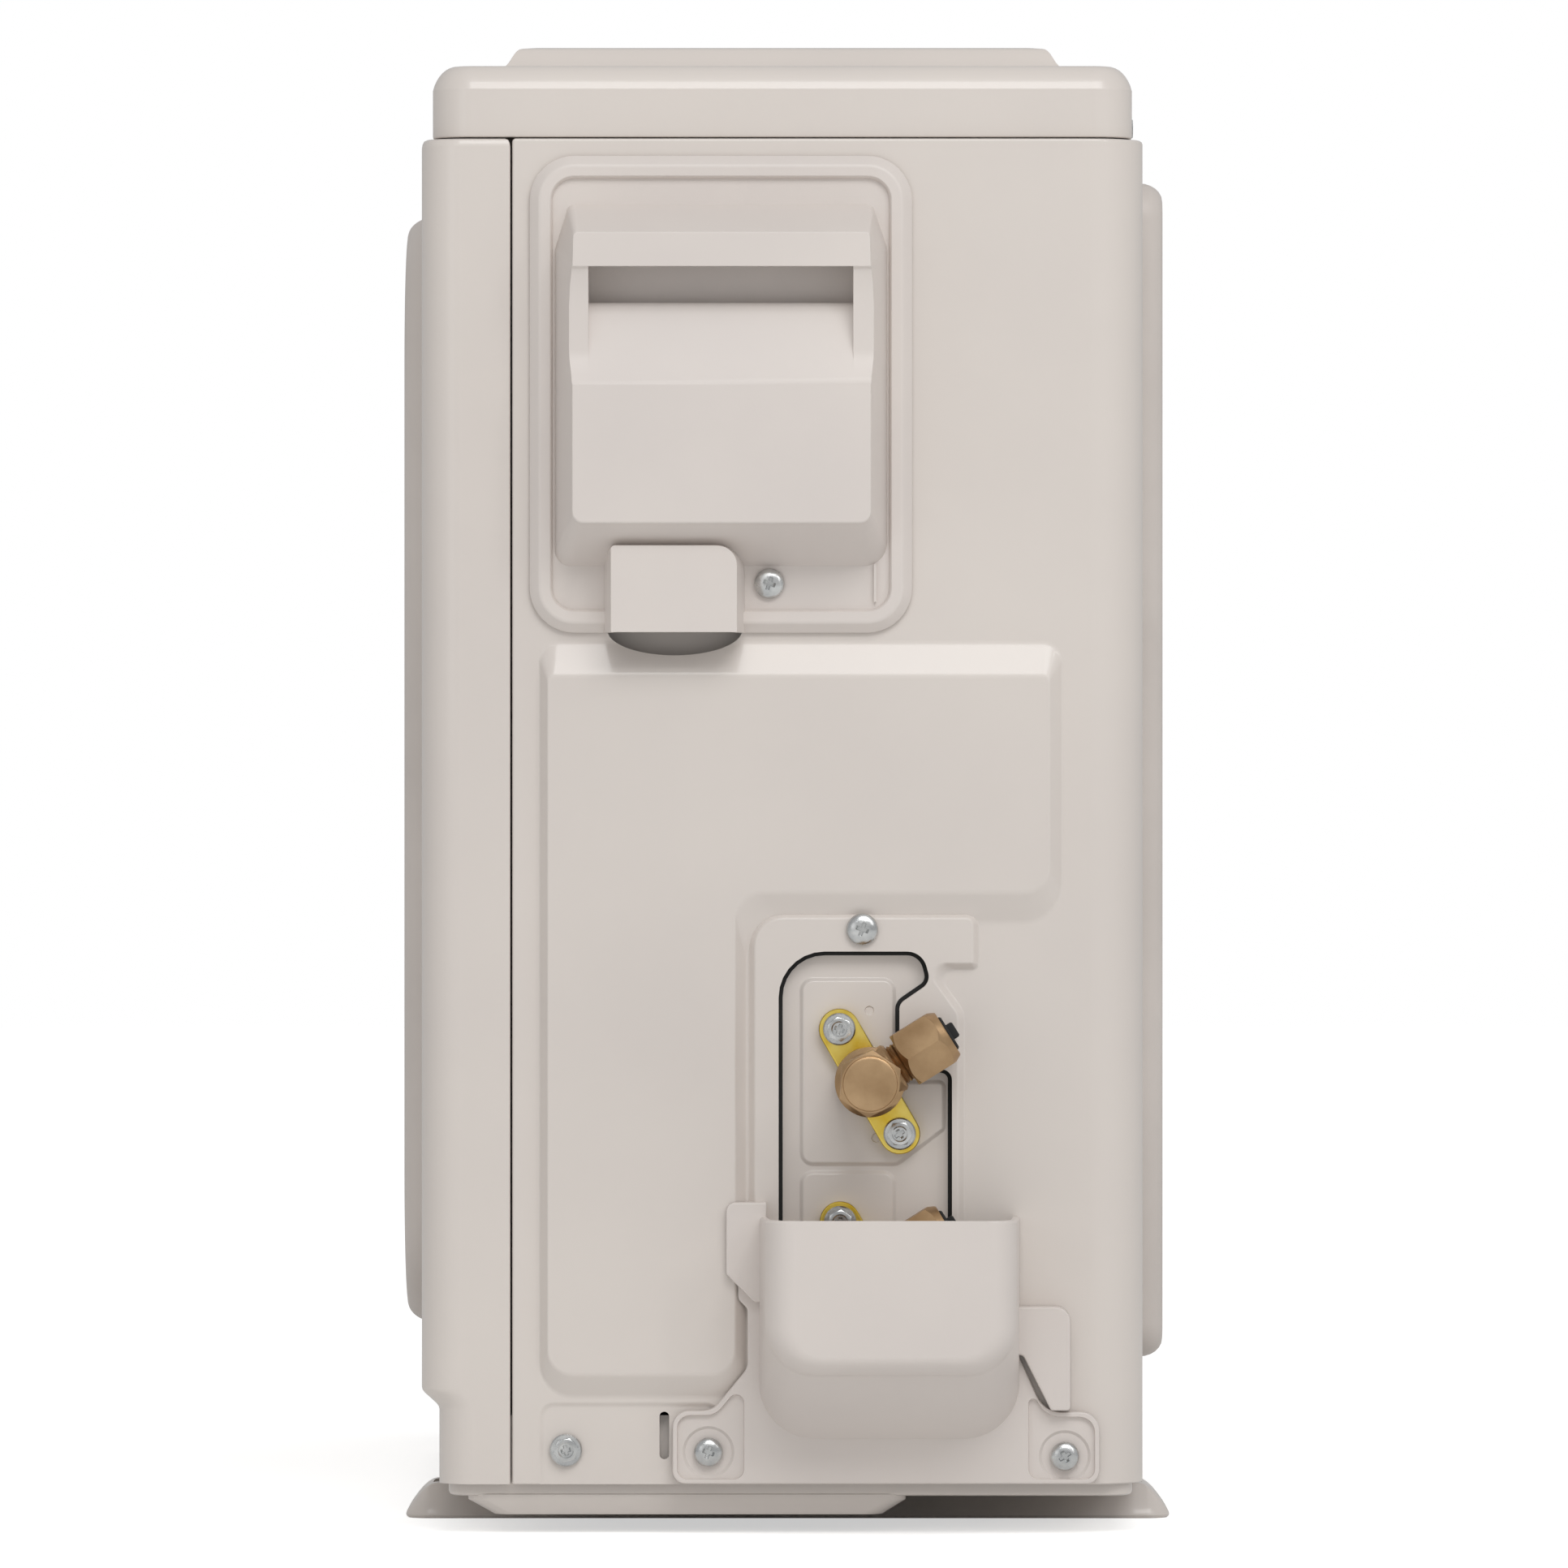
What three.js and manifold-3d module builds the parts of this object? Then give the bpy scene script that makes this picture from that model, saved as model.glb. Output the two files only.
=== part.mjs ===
// Outdoor unit of a small split heat pump, as an assembly of separate pieces.
// Millimetres, +Z up. The front (fan side) faces -Y and the service side faces +X.

import * as THREE from 'three';
import { mergeVertices } from 'three/addons/utils/BufferGeometryUtils.js';
import Module from 'manifold-3d';

const wasm = await Module();
wasm.setup();

// ---------------------------------------------------------------- driving dimensions

const WIDTH = 765;             // over the valve cover
const CABINET_DEPTH = 268.4;   // over the front and rear sheets
const FRONT_BULGE = 20;        // middle of the fan grille, proud of the front sheet
const REAR_BULGE = 14.6;       // coil guard, proud of the rear sheet
const HEIGHT = 555;
const COVER_STAND = 52;        // valve cover, proud of the service side
const SHEET = 1.2;             // painted sheet steel
const GAP = 0.4;               // clearance between pieces that touch
const WALL = 2.2;              // moulded plastic wall

const RIGHT = WIDTH / 2 - COVER_STAND;
const LEFT = -WIDTH / 2;
const REAR = CABINET_DEPTH / 2;
const FRONT = -REAR;
const MID_X = (LEFT + RIGHT) / 2;

const PANEL_BOTTOM = 18.7;
const PANEL_TOP = 518;
const SEAM_Y = -100.6;         // between the front panel's flange and the side panel

const FAN_X = -142;
const FAN_Z = 284.3;
const FAN_RADIUS = 198;
const MOUTH_RADIUS = 206;      // bell mouth in the front panel

const PARTITION_X = 96;        // wall between the fan room and the compressor room
const COIL_THICK = 24;
const PAN_FLOOR = 14;          // underside of the base pan
const FOOT_HEIGHT = 13;
const FOOT_SPACING = 452;
const SHEET_LIP = 14;          // inward fold along the upper edge of the sheets

const LIQUID_VALVE = [32.3, 168.2];   // centres on the service side, as [Y, Z]
const GAS_VALVE = [32.6, 96.7];
const BRACKET_FACE = RIGHT - 1.5;     // outer face of the valve bracket, just behind the sheet
const ARM_ANGLE = THREE.MathUtils.degToRad(32);    // flare connection, above horizontal
const FLANGE_ANGLE = THREE.MathUtils.degToRad(-60);

// ---------------------------------------------------------------- outlines

// A polygon of [u, v, radius] corners with each corner rounded in `steps` segments.
// `inset` moves every side inwards first. Corners run anticlockwise.
function outline(corners, inset = 0, steps = 4) {
  const moved = insetCorners(corners, inset);
  const points = [];
  moved.forEach(([u, v, radius], i) => {
    const before = moved[(i + moved.length - 1) % moved.length];
    const after = moved[(i + 1) % moved.length];
    if (corners[i][2] === 0) points.push([u, v]);
    else points.push(...filletPoints([u, v], before, after, radius, steps));
  });
  return points;
}

function insetCorners(corners, inset) {
  return corners.map(([u, v, radius = 0], i) => {
    const a = corners[(i + corners.length - 1) % corners.length];
    const b = corners[(i + 1) % corners.length];
    const inLength = Math.hypot(u - a[0], v - a[1]);
    const outLength = Math.hypot(b[0] - u, b[1] - v);
    const n1 = [-(v - a[1]) / inLength, (u - a[0]) / inLength];
    const n2 = [-(b[1] - v) / outLength, (b[0] - u) / outLength];
    const scale = inset / (1 + n1[0] * n2[0] + n1[1] * n2[1]);
    const convex = n1[0] * n2[1] - n1[1] * n2[0] > 0;
    const rounded = radius === 0 ? 0 : Math.max(0.3, radius - (convex ? inset : -inset));
    return [u + (n1[0] + n2[0]) * scale, v + (n1[1] + n2[1]) * scale, rounded];
  });
}

function filletPoints(corner, before, after, radius, steps) {
  const toBefore = new THREE.Vector2(before[0] - corner[0], before[1] - corner[1]);
  const toAfter = new THREE.Vector2(after[0] - corner[0], after[1] - corner[1]);
  const room = 0.49 * Math.min(toBefore.length(), toAfter.length());
  toBefore.normalize();
  toAfter.normalize();
  const half = Math.acos(THREE.MathUtils.clamp(toBefore.dot(toAfter), -1, 1)) / 2;
  const reach = Math.min(radius / Math.tan(half), room);
  const start = [corner[0] + toBefore.x * reach, corner[1] + toBefore.y * reach];
  const end = [corner[0] + toAfter.x * reach, corner[1] + toAfter.y * reach];
  const bisector = toBefore.clone().add(toAfter).normalize();
  const toCentre = reach / Math.cos(half);
  const centre = [corner[0] + bisector.x * toCentre, corner[1] + bisector.y * toCentre];
  const a0 = Math.atan2(start[1] - centre[1], start[0] - centre[0]);
  let sweep = Math.atan2(end[1] - centre[1], end[0] - centre[0]) - a0;
  if (sweep > Math.PI) sweep -= 2 * Math.PI;
  if (sweep < -Math.PI) sweep += 2 * Math.PI;
  const actual = Math.hypot(start[0] - centre[0], start[1] - centre[1]);
  return Array.from({ length: steps + 1 }, (_, i) => {
    const angle = a0 + (sweep * i) / steps;
    return [centre[0] + actual * Math.cos(angle), centre[1] + actual * Math.sin(angle)];
  });
}

function rectangle(u0, v0, u1, v1, radius = 0) {
  return [[u0, v0, radius], [u1, v0, radius], [u1, v1, radius], [u0, v1, radius]];
}

function circle(u, v, radius, sides = 24, turn = 0) {
  return Array.from({ length: sides }, (_, i) => {
    const angle = turn + (2 * Math.PI * i) / sides;
    return [u + radius * Math.cos(angle), v + radius * Math.sin(angle)];
  });
}

// ---------------------------------------------------------------- solids

const AXES = {
  x: { place: (u, v, w) => [w, u, v], mirrored: false },   // outline in Y, Z
  y: { place: (u, v, w) => [u, w, v], mirrored: true },    // outline in X, Z
  z: { place: (u, v, w) => [u, v, w], mirrored: false },   // outline in X, Y
};

// A closed solid through sections [[distance along the axis, points], ...].
function loft(axis, sections) {
  const { place, mirrored } = AXES[axis];
  const count = sections[0][1].length;
  const positions = sections.flatMap(([w, points]) => points.flatMap(([u, v]) => place(u, v, w)));
  const triangles = [];
  const add = (a, b, c) => triangles.push(...(mirrored ? [a, c, b] : [a, b, c]));
  for (let s = 0; s + 1 < sections.length; s++) {
    for (let i = 0; i < count; i++) {
      const j = (i + 1) % count;
      const low = s * count;
      const high = low + count;
      add(low + i, low + j, high + j);
      add(low + i, high + j, high + i);
    }
  }
  const last = (sections.length - 1) * count;
  const flat = (points) => points.map(([u, v]) => new THREE.Vector2(u, v));
  for (const [a, b, c] of THREE.ShapeUtils.triangulateShape(flat(sections[0][1]), [])) add(a, c, b);
  for (const [a, b, c] of THREE.ShapeUtils.triangulateShape(flat(sections.at(-1)[1]), [])) {
    add(last + a, last + b, last + c);
  }
  return manifoldFrom(positions, triangles);
}

function manifoldFrom(positions, triangles) {
  return new wasm.Manifold(new wasm.Mesh({
    numProp: 3,
    vertProperties: new Float32Array(positions),
    triVerts: new Uint32Array(triangles),
  }));
}

function fromGeometry(geometry) {
  const bare = geometry.clone();
  bare.deleteAttribute('normal');
  bare.deleteAttribute('uv');
  const merged = mergeVertices(bare, 1e-3);
  const index = Array.from(merged.index.array);
  const kept = [];
  for (let i = 0; i < index.length; i += 3) {
    const [a, b, c] = index.slice(i, i + 3);
    if (a !== b && b !== c && c !== a) kept.push(a, b, c);
  }
  return manifoldFrom(merged.attributes.position.array, kept);
}

const prism = (axis, points, from, to) => loft(axis, [[from, points], [to, points]]);
const block = (x0, y0, z0, x1, y1, z1) => prism('z', outline(rectangle(x0, y0, x1, y1)), z0, z1);
const rod = (axis, u, v, radius, from, to, sides = 20) =>
  prism(axis, circle(u, v, radius, sides), from, to);
const union = (...pieces) => pieces.reduce((whole, piece) => whole.add(piece));

// A round body about an axis, from a profile of [radius, distance] pairs.
const turned = (axis, u, v, profile, sides = 24) =>
  loft(axis, profile.map(([radius, w]) => [w, circle(u, v, radius, sides)]));

function tube(points, radius, sides = 10) {
  const curve = new THREE.CatmullRomCurve3(points.map((p) => new THREE.Vector3(...p)));
  const section = new THREE.Shape(circle(0, 0, radius, sides).map(([u, v]) => new THREE.Vector2(u, v)));
  const steps = Math.min(60, Math.ceil(curve.getLength() / (radius * 2.5)));
  return fromGeometry(new THREE.ExtrudeGeometry(section, { extrudePath: curve, steps }));
}

// ---------------------------------------------------------------- finishes

const finish = (color, roughness, metalness = 0) =>
  () => new THREE.MeshStandardMaterial({ color, roughness, metalness });
const paintedSteel = finish(0xd6cec8, 0.35, 0.1);
const mattePlastic = finish(0xd7cfca, 0.55);
const galvanised = finish(0xa9adb0, 0.4, 0.8);
const zinc = finish(0xc4c4bf, 0.35, 0.9);
const brass = finish(0xb08d57, 0.4, 0.9);
const copper = finish(0xb06a45, 0.35, 0.9);
const aluminium = finish(0xb9bcbd, 0.45, 0.8);
const blackRubber = finish(0x1d1d1d, 0.8);
const blackPaint = finish(0x232323, 0.5);
const fanPlastic = finish(0x8f9294, 0.5);
const boardGreen = finish(0x2f6b45, 0.5);

const unit = new THREE.Group();

function addPiece(name, solid, material, parent = unit) {
  const { vertProperties, triVerts } = solid.getMesh();
  const geometry = new THREE.BufferGeometry();
  geometry.setAttribute('position', new THREE.BufferAttribute(vertProperties, 3));
  geometry.setIndex(new THREE.BufferAttribute(triVerts, 1));
  geometry.computeVertexNormals();
  const mesh = new THREE.Mesh(geometry, material());
  mesh.name = name;
  parent.add(mesh);
}

// ---------------------------------------------------------------- base

const PAN = { left: LEFT + 2, right: RIGHT - 6, front: FRONT + 10, rear: REAR - 4 };
const PAN_RIM = 44;
const PAN_DRAWN = { bottom: 7, width: 40, front: -117, rear: 46, draft: 5 };   // drawn down at both ends

function basePan() {
  const plan = rectangle(PAN.left, PAN.front, PAN.right, PAN.rear, 10);
  const tray = prism('z', outline(plan), PAN_FLOOR, PAN_RIM);
  const inside = prism('z', outline(plan, SHEET), PAN_FLOOR + SHEET, PAN_RIM + 1);
  const drawn = (x0) => {
    const upper = rectangle(x0, PAN_DRAWN.front, x0 + PAN_DRAWN.width, PAN_DRAWN.rear, 6);
    const lower = rectangle(x0 + 2, PAN_DRAWN.front + PAN_DRAWN.draft, x0 + PAN_DRAWN.width - 2,
      PAN_DRAWN.rear - PAN_DRAWN.draft, 6);
    return loft('z', [[PAN_DRAWN.bottom, outline(lower)], [PAN_FLOOR + 0.5, outline(upper)]]);
  };
  const drain = rod('z', FAN_X, 60, 9, PAN_FLOOR - 1, PAN_FLOOR + 2, 16);
  return union(tray.subtract(inside), drawn(PAN.right - PAN_DRAWN.width), drawn(PAN.left))
    .subtract(drain);
}

const FOOT = { front: -143, rear: 147, half: 30, flange: 9, thick: 1.6 };
const FOOT_SLOT = { length: 24, width: 9, places: [-128.5, 132.5] };   // places along Y

// Pressed hat-section foot: flat flanges on the ground, a raised top with two slots.
function foot(x) {
  const { half, flange, thick } = FOOT;
  const plan = rectangle(x - half, FOOT.front, x + half, FOOT.rear, flange);
  const outside = loft('z', [
    [0, outline(plan)],
    [thick, outline(plan)],
    [thick + 0.01, outline(plan, flange - 2)],
    [FOOT_HEIGHT, outline(plan, flange)],
  ]);
  const inside = loft('z', [
    [-1, outline(plan, flange + 0.5)],
    [FOOT_HEIGHT - thick, outline(plan, flange + thick)],
  ]);
  const slots = FOOT_SLOT.places.map((y) => {
    const [along, across] = [FOOT_SLOT.length / 2, FOOT_SLOT.width / 2];
    return prism('z', outline(rectangle(x - along, y - across, x + along, y + across, 4)), 5, 20);
  });
  return outside.subtract(inside).subtract(union(...slots));
}

addPiece('base_pan', basePan(), paintedSteel);
addPiece('foot_right', foot(MID_X + FOOT_SPACING / 2), paintedSteel);
addPiece('foot_left', foot(MID_X - FOOT_SPACING / 2), paintedSteel);

// ---------------------------------------------------------------- front panel and grille

const TOE = { setback: 6.6, low: 46, high: 54 };   // the sheet steps back near the ground
const MOUTH_DEPTH = 18;

function frontPanel() {
  const plan = (setback) => rectangle(LEFT, FRONT + setback, RIGHT, SEAM_Y, 0)
    .map(([u, v], i) => [u, v, i < 2 ? 8 : 0]);
  const toe = [[PANEL_BOTTOM, TOE.setback], [TOE.low, TOE.setback], [TOE.high, 0], [PANEL_TOP, 0]];
  const outside = loft('z', toe.map(([z, setback]) => [z, outline(plan(setback))]));
  const hollow = toe.map(([z, setback], i) => {
    const low = i === 0 ? -1 : 0;
    const high = i === toe.length - 1 ? -SHEET : 0;
    return [z + low + high, outline(plan(setback), SHEET)];
  });
  const inside = loft('z', hollow);
  const back = block(LEFT + SHEET, SEAM_Y - 2, PANEL_BOTTOM - 1, RIGHT - SHEET, SEAM_Y + 1, PANEL_TOP - SHEET);
  const topOpening = block(LEFT + SHEET_LIP, FRONT + SHEET_LIP, PANEL_TOP - 3,
    RIGHT - SHEET_LIP, SEAM_Y + 1, PANEL_TOP + 1);
  const mouth = rod('y', FAN_X, FAN_Z, MOUTH_RADIUS + SHEET, FRONT + 0.2, FRONT + MOUTH_DEPTH, 56);
  const hole = rod('y', FAN_X, FAN_Z, MOUTH_RADIUS, FRONT - 1, FRONT + MOUTH_DEPTH + 1, 56);
  return outside.subtract(inside).subtract(back).subtract(topOpening).add(mouth).subtract(hole);
}

const GUARD_SIDES = 40;
const GUARD_SPOKES = 6;
const GUARD_RINGS = [78, 124, 170, 203];
const GUARD_BAR = 2.5;         // half the width of a ring or spoke
const GUARD_DEEP = 5;          // how thick a ring or spoke is, front to back
const GUARD_WALL = 2.5;
const GUARD_HUB = 32;
const GUARD = { half: 219, corner: 60, stand: 14.2, opening: 203 };   // square border, round opening

// Square guard with rounded corners. Its rings climb from the border to the hub like a flat cone.
function fanGrille() {
  const { half, corner, stand, opening } = GUARD;
  const seat = FRONT - GAP;
  const border = FRONT - stand;
  const hubFace = FRONT - FRONT_BULGE;
  const faceAt = (radius) => hubFace + (border - hubFace) * (radius / opening);
  const square = rectangle(FAN_X - half, FAN_Z - half, FAN_X + half, FAN_Z + half, corner);
  const shell = (inset) => loft('y', [
    [border + inset, outline(square, 8 + inset)],
    [border + 2.4 + inset, outline(square, 3 + inset)],
    [border + 8 + inset, outline(square, inset)],
    [seat + (inset > 0 ? 1 : 0), outline(square, inset)],
  ]);
  const rim = shell(0).subtract(shell(GUARD_WALL)).subtract(
    rod('y', FAN_X, FAN_Z, opening, border - 1, border + 6, GUARD_SIDES));
  const rings = GUARD_RINGS.map((radius) => {
    const face = faceAt(radius);
    return rod('y', FAN_X, FAN_Z, radius + GUARD_BAR, face, face + GUARD_DEEP, GUARD_SIDES)
      .subtract(rod('y', FAN_X, FAN_Z, radius - GUARD_BAR, face - 1, face + GUARD_DEEP + 1, GUARD_SIDES));
  });
  const hub = rod('y', FAN_X, FAN_Z, GUARD_HUB, hubFace, hubFace + GUARD_DEEP, 32);
  const [start, end] = [GUARD_HUB - 12, opening + 1];
  const spoke = prism('z', [
    [start, faceAt(start) + 0.6], [end, faceAt(end) + 0.6],
    [end, faceAt(end) + GUARD_DEEP - 0.6], [start, faceAt(start) + GUARD_DEEP - 0.6],
  ], -GUARD_BAR, GUARD_BAR);
  const spokes = Array.from({ length: GUARD_SPOKES }, (_, i) =>
    spoke.rotate([0, ((i + 0.5) * 360) / GUARD_SPOKES, 0]).translate([FAN_X, 0, FAN_Z]));
  return union(rim, hub, ...rings, ...spokes);
}

addPiece('front_panel', frontPanel(), paintedSteel);
addPiece('fan_grille', fanGrille(), mattePlastic);

// ---------------------------------------------------------------- right side panel

const EMBOSS = 5;
const L_EMBOSS = [
  [-90.4, 53, 12], [-14, 53, 12], [-14, 236, 12], [104, 236, 14], [104, 331, 14], [-90.4, 331, 14],
];
const VALVE_TAB = rectangle(-8, 217.5, 72.9, 233, 4);
const VALVE_OPENING = [
  [-1.4, 60, 6], [62.9, 60, 6], [62.9, 170, 2], [44, 174, 3], [44, 198, 3], [54, 206, 3],
  [54, 216.4, 6], [-1.4, 216.4, 12],
];
const WIRING_OPENING = rectangle(-70, 352, 27, 500, 8);
const CABLE_HOLE = { y: -39.9, z: 335.6, width: 50, depth: 9.4 };   // half an ellipse under the hood
const CORNER_SLOT = { front: -45.6, rear: -42, bottom: 28, top: 45.6 };
const REAR_CORNER = 21;        // bend from the service side to the rear
const UPPER_SCREW = [29.6, 224.6];
const LOWER_SCREW = [-80.3, 31.4];

// A pressed step in a sheet: the solid of the raised side, from the sheet outwards.
const raised = (corners, height, slope, base = RIGHT) => loft('x', [
  [base, outline(corners)],
  [base + height, outline(corners, slope)],
]);

function cableHole() {
  const { y, z, width, depth } = CABLE_HOLE;
  const steps = 12;
  const points = Array.from({ length: steps + 1 }, (_, i) => {
    const angle = Math.PI + (Math.PI * i) / steps;
    return [y + (width / 2) * Math.cos(angle), z + depth * Math.sin(angle)];
  });
  return prism('x', points, RIGHT - 3, RIGHT + 3);
}

function rightSidePanel() {
  const returnX = PARTITION_X - 4;
  const plan = [[returnX, SEAM_Y, 0], [RIGHT, SEAM_Y, 0], [RIGHT, REAR, REAR_CORNER], [returnX, REAR, 0]];
  const outside = prism('z', outline(plan, 0, 6), PANEL_BOTTOM, PANEL_TOP);
  const inside = prism('z', outline(plan, SHEET, 6), PANEL_BOTTOM - 1, PANEL_TOP - SHEET);
  const openEnds = union(
    block(returnX - 1, SEAM_Y - 1, PANEL_BOTTOM - 1, returnX + 2, REAR - SHEET, PANEL_TOP - SHEET),
    block(returnX - 1, SEAM_Y - 1, PANEL_BOTTOM - 1, RIGHT - SHEET, SEAM_Y + 2, PANEL_TOP - SHEET));
  const topOpening = block(returnX - 1, SEAM_Y - 1, PANEL_TOP - 3,
    RIGHT - SHEET_LIP, REAR - SHEET_LIP, PANEL_TOP + 1);
  const sheet = outside.subtract(inside).subtract(openEnds).subtract(topOpening);
  const slot = block(RIGHT - 12, CORNER_SLOT.front, CORNER_SLOT.bottom,
    RIGHT + 2, CORNER_SLOT.rear, CORNER_SLOT.top);
  const pressed = sheet
    .add(raised(L_EMBOSS, EMBOSS, 8, RIGHT - 0.5))
    .add(raised(VALVE_TAB, 4, 3, RIGHT - 0.5))
    .subtract(raised(L_EMBOSS, EMBOSS, 8, RIGHT - 0.5 - SHEET))
    .subtract(raised(VALVE_TAB, 4, 3, RIGHT - 0.5 - SHEET));
  const hole = ([y, z]) => rod('x', y, z, 2.6, RIGHT - 8, RIGHT + 8, 12);
  return pressed
    .subtract(prism('x', outline(VALVE_OPENING), RIGHT - 3, RIGHT + 8))
    .subtract(prism('x', outline(WIRING_OPENING), RIGHT - 3, RIGHT + 3)).subtract(cableHole())
    .subtract(slot).subtract(hole(UPPER_SCREW)).subtract(hole(LOWER_SCREW));
}

addPiece('right_side_panel', rightSidePanel(), paintedSteel);

// ---------------------------------------------------------------- left side panel and rear guard

const LEFT_RETURN = 26;        // rear fold of the left sheet
const LOUVRES = { rows: 14, first: 70, pitch: 30, height: 20, width: 58, columns: [-84, -14, 56] };

function leftSidePanel() {
  const back = LEFT + LEFT_RETURN;
  const plan = [[LEFT, SEAM_Y, 0], [back, SEAM_Y, 0], [back, REAR, 0], [LEFT, REAR, 12]];
  const outside = prism('z', outline(plan), PANEL_BOTTOM, PANEL_TOP);
  const inside = prism('z', outline(plan, SHEET), PANEL_BOTTOM - 1, PANEL_TOP - SHEET);
  const openEnds = union(
    block(LEFT + SHEET, SEAM_Y - 1, PANEL_BOTTOM - 1, back + 1, SEAM_Y + 2, PANEL_TOP - SHEET),
    block(back - 2, SEAM_Y - 1, PANEL_BOTTOM - 1, back + 1, REAR - SHEET, PANEL_TOP - SHEET));
  const topOpening = block(LEFT + SHEET_LIP, SEAM_Y - 1, PANEL_TOP - 3,
    back + 1, REAR - SHEET_LIP, PANEL_TOP + 1);
  const slots = [];
  for (let row = 0; row < LOUVRES.rows; row++) {
    const z = LOUVRES.first + row * LOUVRES.pitch;
    for (const y of LOUVRES.columns) {
      const slot = rectangle(y, z, y + LOUVRES.width, z + LOUVRES.height);
      slots.push(prism('x', outline(slot), LEFT - 1, LEFT + 3));
    }
  }
  return slots.reduce((panel, slot) => panel.subtract(slot),
    outside.subtract(inside).subtract(openEnds).subtract(topOpening));
}

const GUARD_LEFT = LEFT + LEFT_RETURN + 1;
const GUARD_RIGHT = PARTITION_X - 8;
const GUARD_BOTTOM = 54;
const GUARD_TOP = 514;
const LATTICE = { columns: 6, rows: 8, border: 20, bar: 4 };

// Coil guard: a dished border with a lattice of bars, standing proud of the rear sheet.
function rearGuard() {
  const border = rectangle(GUARD_LEFT, GUARD_BOTTOM, GUARD_RIGHT, GUARD_TOP, 14);
  const seat = REAR - 2.4;
  const face = REAR + REAR_BULGE;
  const dish = (inset, back) => loft('y', [
    [seat - back, outline(border, inset)],
    [face - 6 - inset, outline(border, inset)],
    [face - inset, outline(border, inset + 6)],
  ]);
  const shell = dish(0, 0).subtract(dish(2, 1));
  const cells = [];
  const { columns, rows, border: edge, bar } = LATTICE;
  const cellWidth = (GUARD_RIGHT - GUARD_LEFT - 2 * edge) / columns;
  const cellHeight = (GUARD_TOP - GUARD_BOTTOM - 2 * edge) / rows;
  for (let column = 0; column < columns; column++) {
    for (let row = 0; row < rows; row++) {
      const x = GUARD_LEFT + edge + column * cellWidth;
      const z = GUARD_BOTTOM + edge + row * cellHeight;
      cells.push(block(x + bar / 2, face - 4, z + bar / 2,
        x + cellWidth - bar / 2, face + 1, z + cellHeight - bar / 2));
    }
  }
  return cells.reduce((guard, cell) => guard.subtract(cell), shell);
}

addPiece('left_side_panel', leftSidePanel(), paintedSteel);
addPiece('rear_guard', rearGuard(), mattePlastic);

// ---------------------------------------------------------------- top cover

const LID_BOTTOM = PANEL_TOP + 0.7;
const LID_INSET = 4;
const LID_SCREW_Z = 528;
const LID_SCREWS = [-250, 210];   // along X, on the rear skirt

function topCover() {
  const plan = rectangle(LEFT + LID_INSET, FRONT + LID_INSET, RIGHT - LID_INSET, REAR - LID_INSET, 15);
  const profile = [[LID_BOTTOM, 0], [537, 0], [542.5, 3.2], [545.6, 9], [546.2, 26], [553.4, 34],
    [HEIGHT, 60]];
  const skin = (lower, inset) => loft('z', profile.map(([z, side]) =>
    [z - lower, outline(plan, side + inset)]));
  const holes = LID_SCREWS.map((x) => rod('y', x, LID_SCREW_Z, 2.4, REAR - 12, REAR + 1, 10));
  return skin(0, 0).subtract(skin(SHEET, SHEET)).subtract(union(...holes));
}

addPiece('top_cover', topCover(), paintedSteel);

// ---------------------------------------------------------------- screws

// A screw along an axis, the underside of its head at `seat`.
function screw(axis, u, v, seat, headRadius, headHeight, shankRadius, shankLength) {
  const at = (distance) => seat + distance;
  const profile = [
    [shankRadius * 0.6, at(-shankLength)], [shankRadius, at(-shankLength + 1)],
    [shankRadius, at(0)], [headRadius, at(0.01)],
    [headRadius, at(headHeight * 0.4)], [headRadius * 0.6, at(headHeight)],
  ];
  return turned(axis, u, v, profile, 10);
}

LID_SCREWS.forEach((x, i) => {
  const name = ['lid_screw_left', 'lid_screw_right'][i];
  addPiece(name, screw('y', x, LID_SCREW_Z, REAR - LID_INSET + 0.3, 5, 2.6, 2, 4), zinc);
});
addPiece('side_panel_upper_screw', screw('x', ...UPPER_SCREW, RIGHT + 4 - 0.1, 6, 3, 2.2, 5), zinc);
addPiece('side_panel_lower_screw', screw('x', ...LOWER_SCREW, RIGHT + 0.3, 5.5, 3, 2.2, 5.6), zinc);

// ---------------------------------------------------------------- terminal cover

const COVER = { front: -93.7, rear: 48.1, bottom: 334.6, top: 511.5 };
const COVER_SEAT = RIGHT + GAP;
const COVER_SCREW = [-4.8, 352.8];
const COVER_FACE = RIGHT + 30;
const RECESS_BACK = RIGHT + 7;
const COVER_LIP = { radius: 16.6, width: 7.9, rise: 6.5, plate: 3 };
const COVER_BOX = { foot: rectangle(-84.9, 358.2, 39.3, 494.2, 10), face: rectangle(-77.2, 375.4, 32, 481.5, 6) };
const FINGERS = { front: -66, rear: 21, low: 446, high: 469, mouthFront: -71.3, mouthRear: 26, mouthLow: 425.3 };
const HOOD = { front: -66.5, rear: -13.3, top: 369.7, roof: 366, face: RIGHT + 22 };

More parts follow.
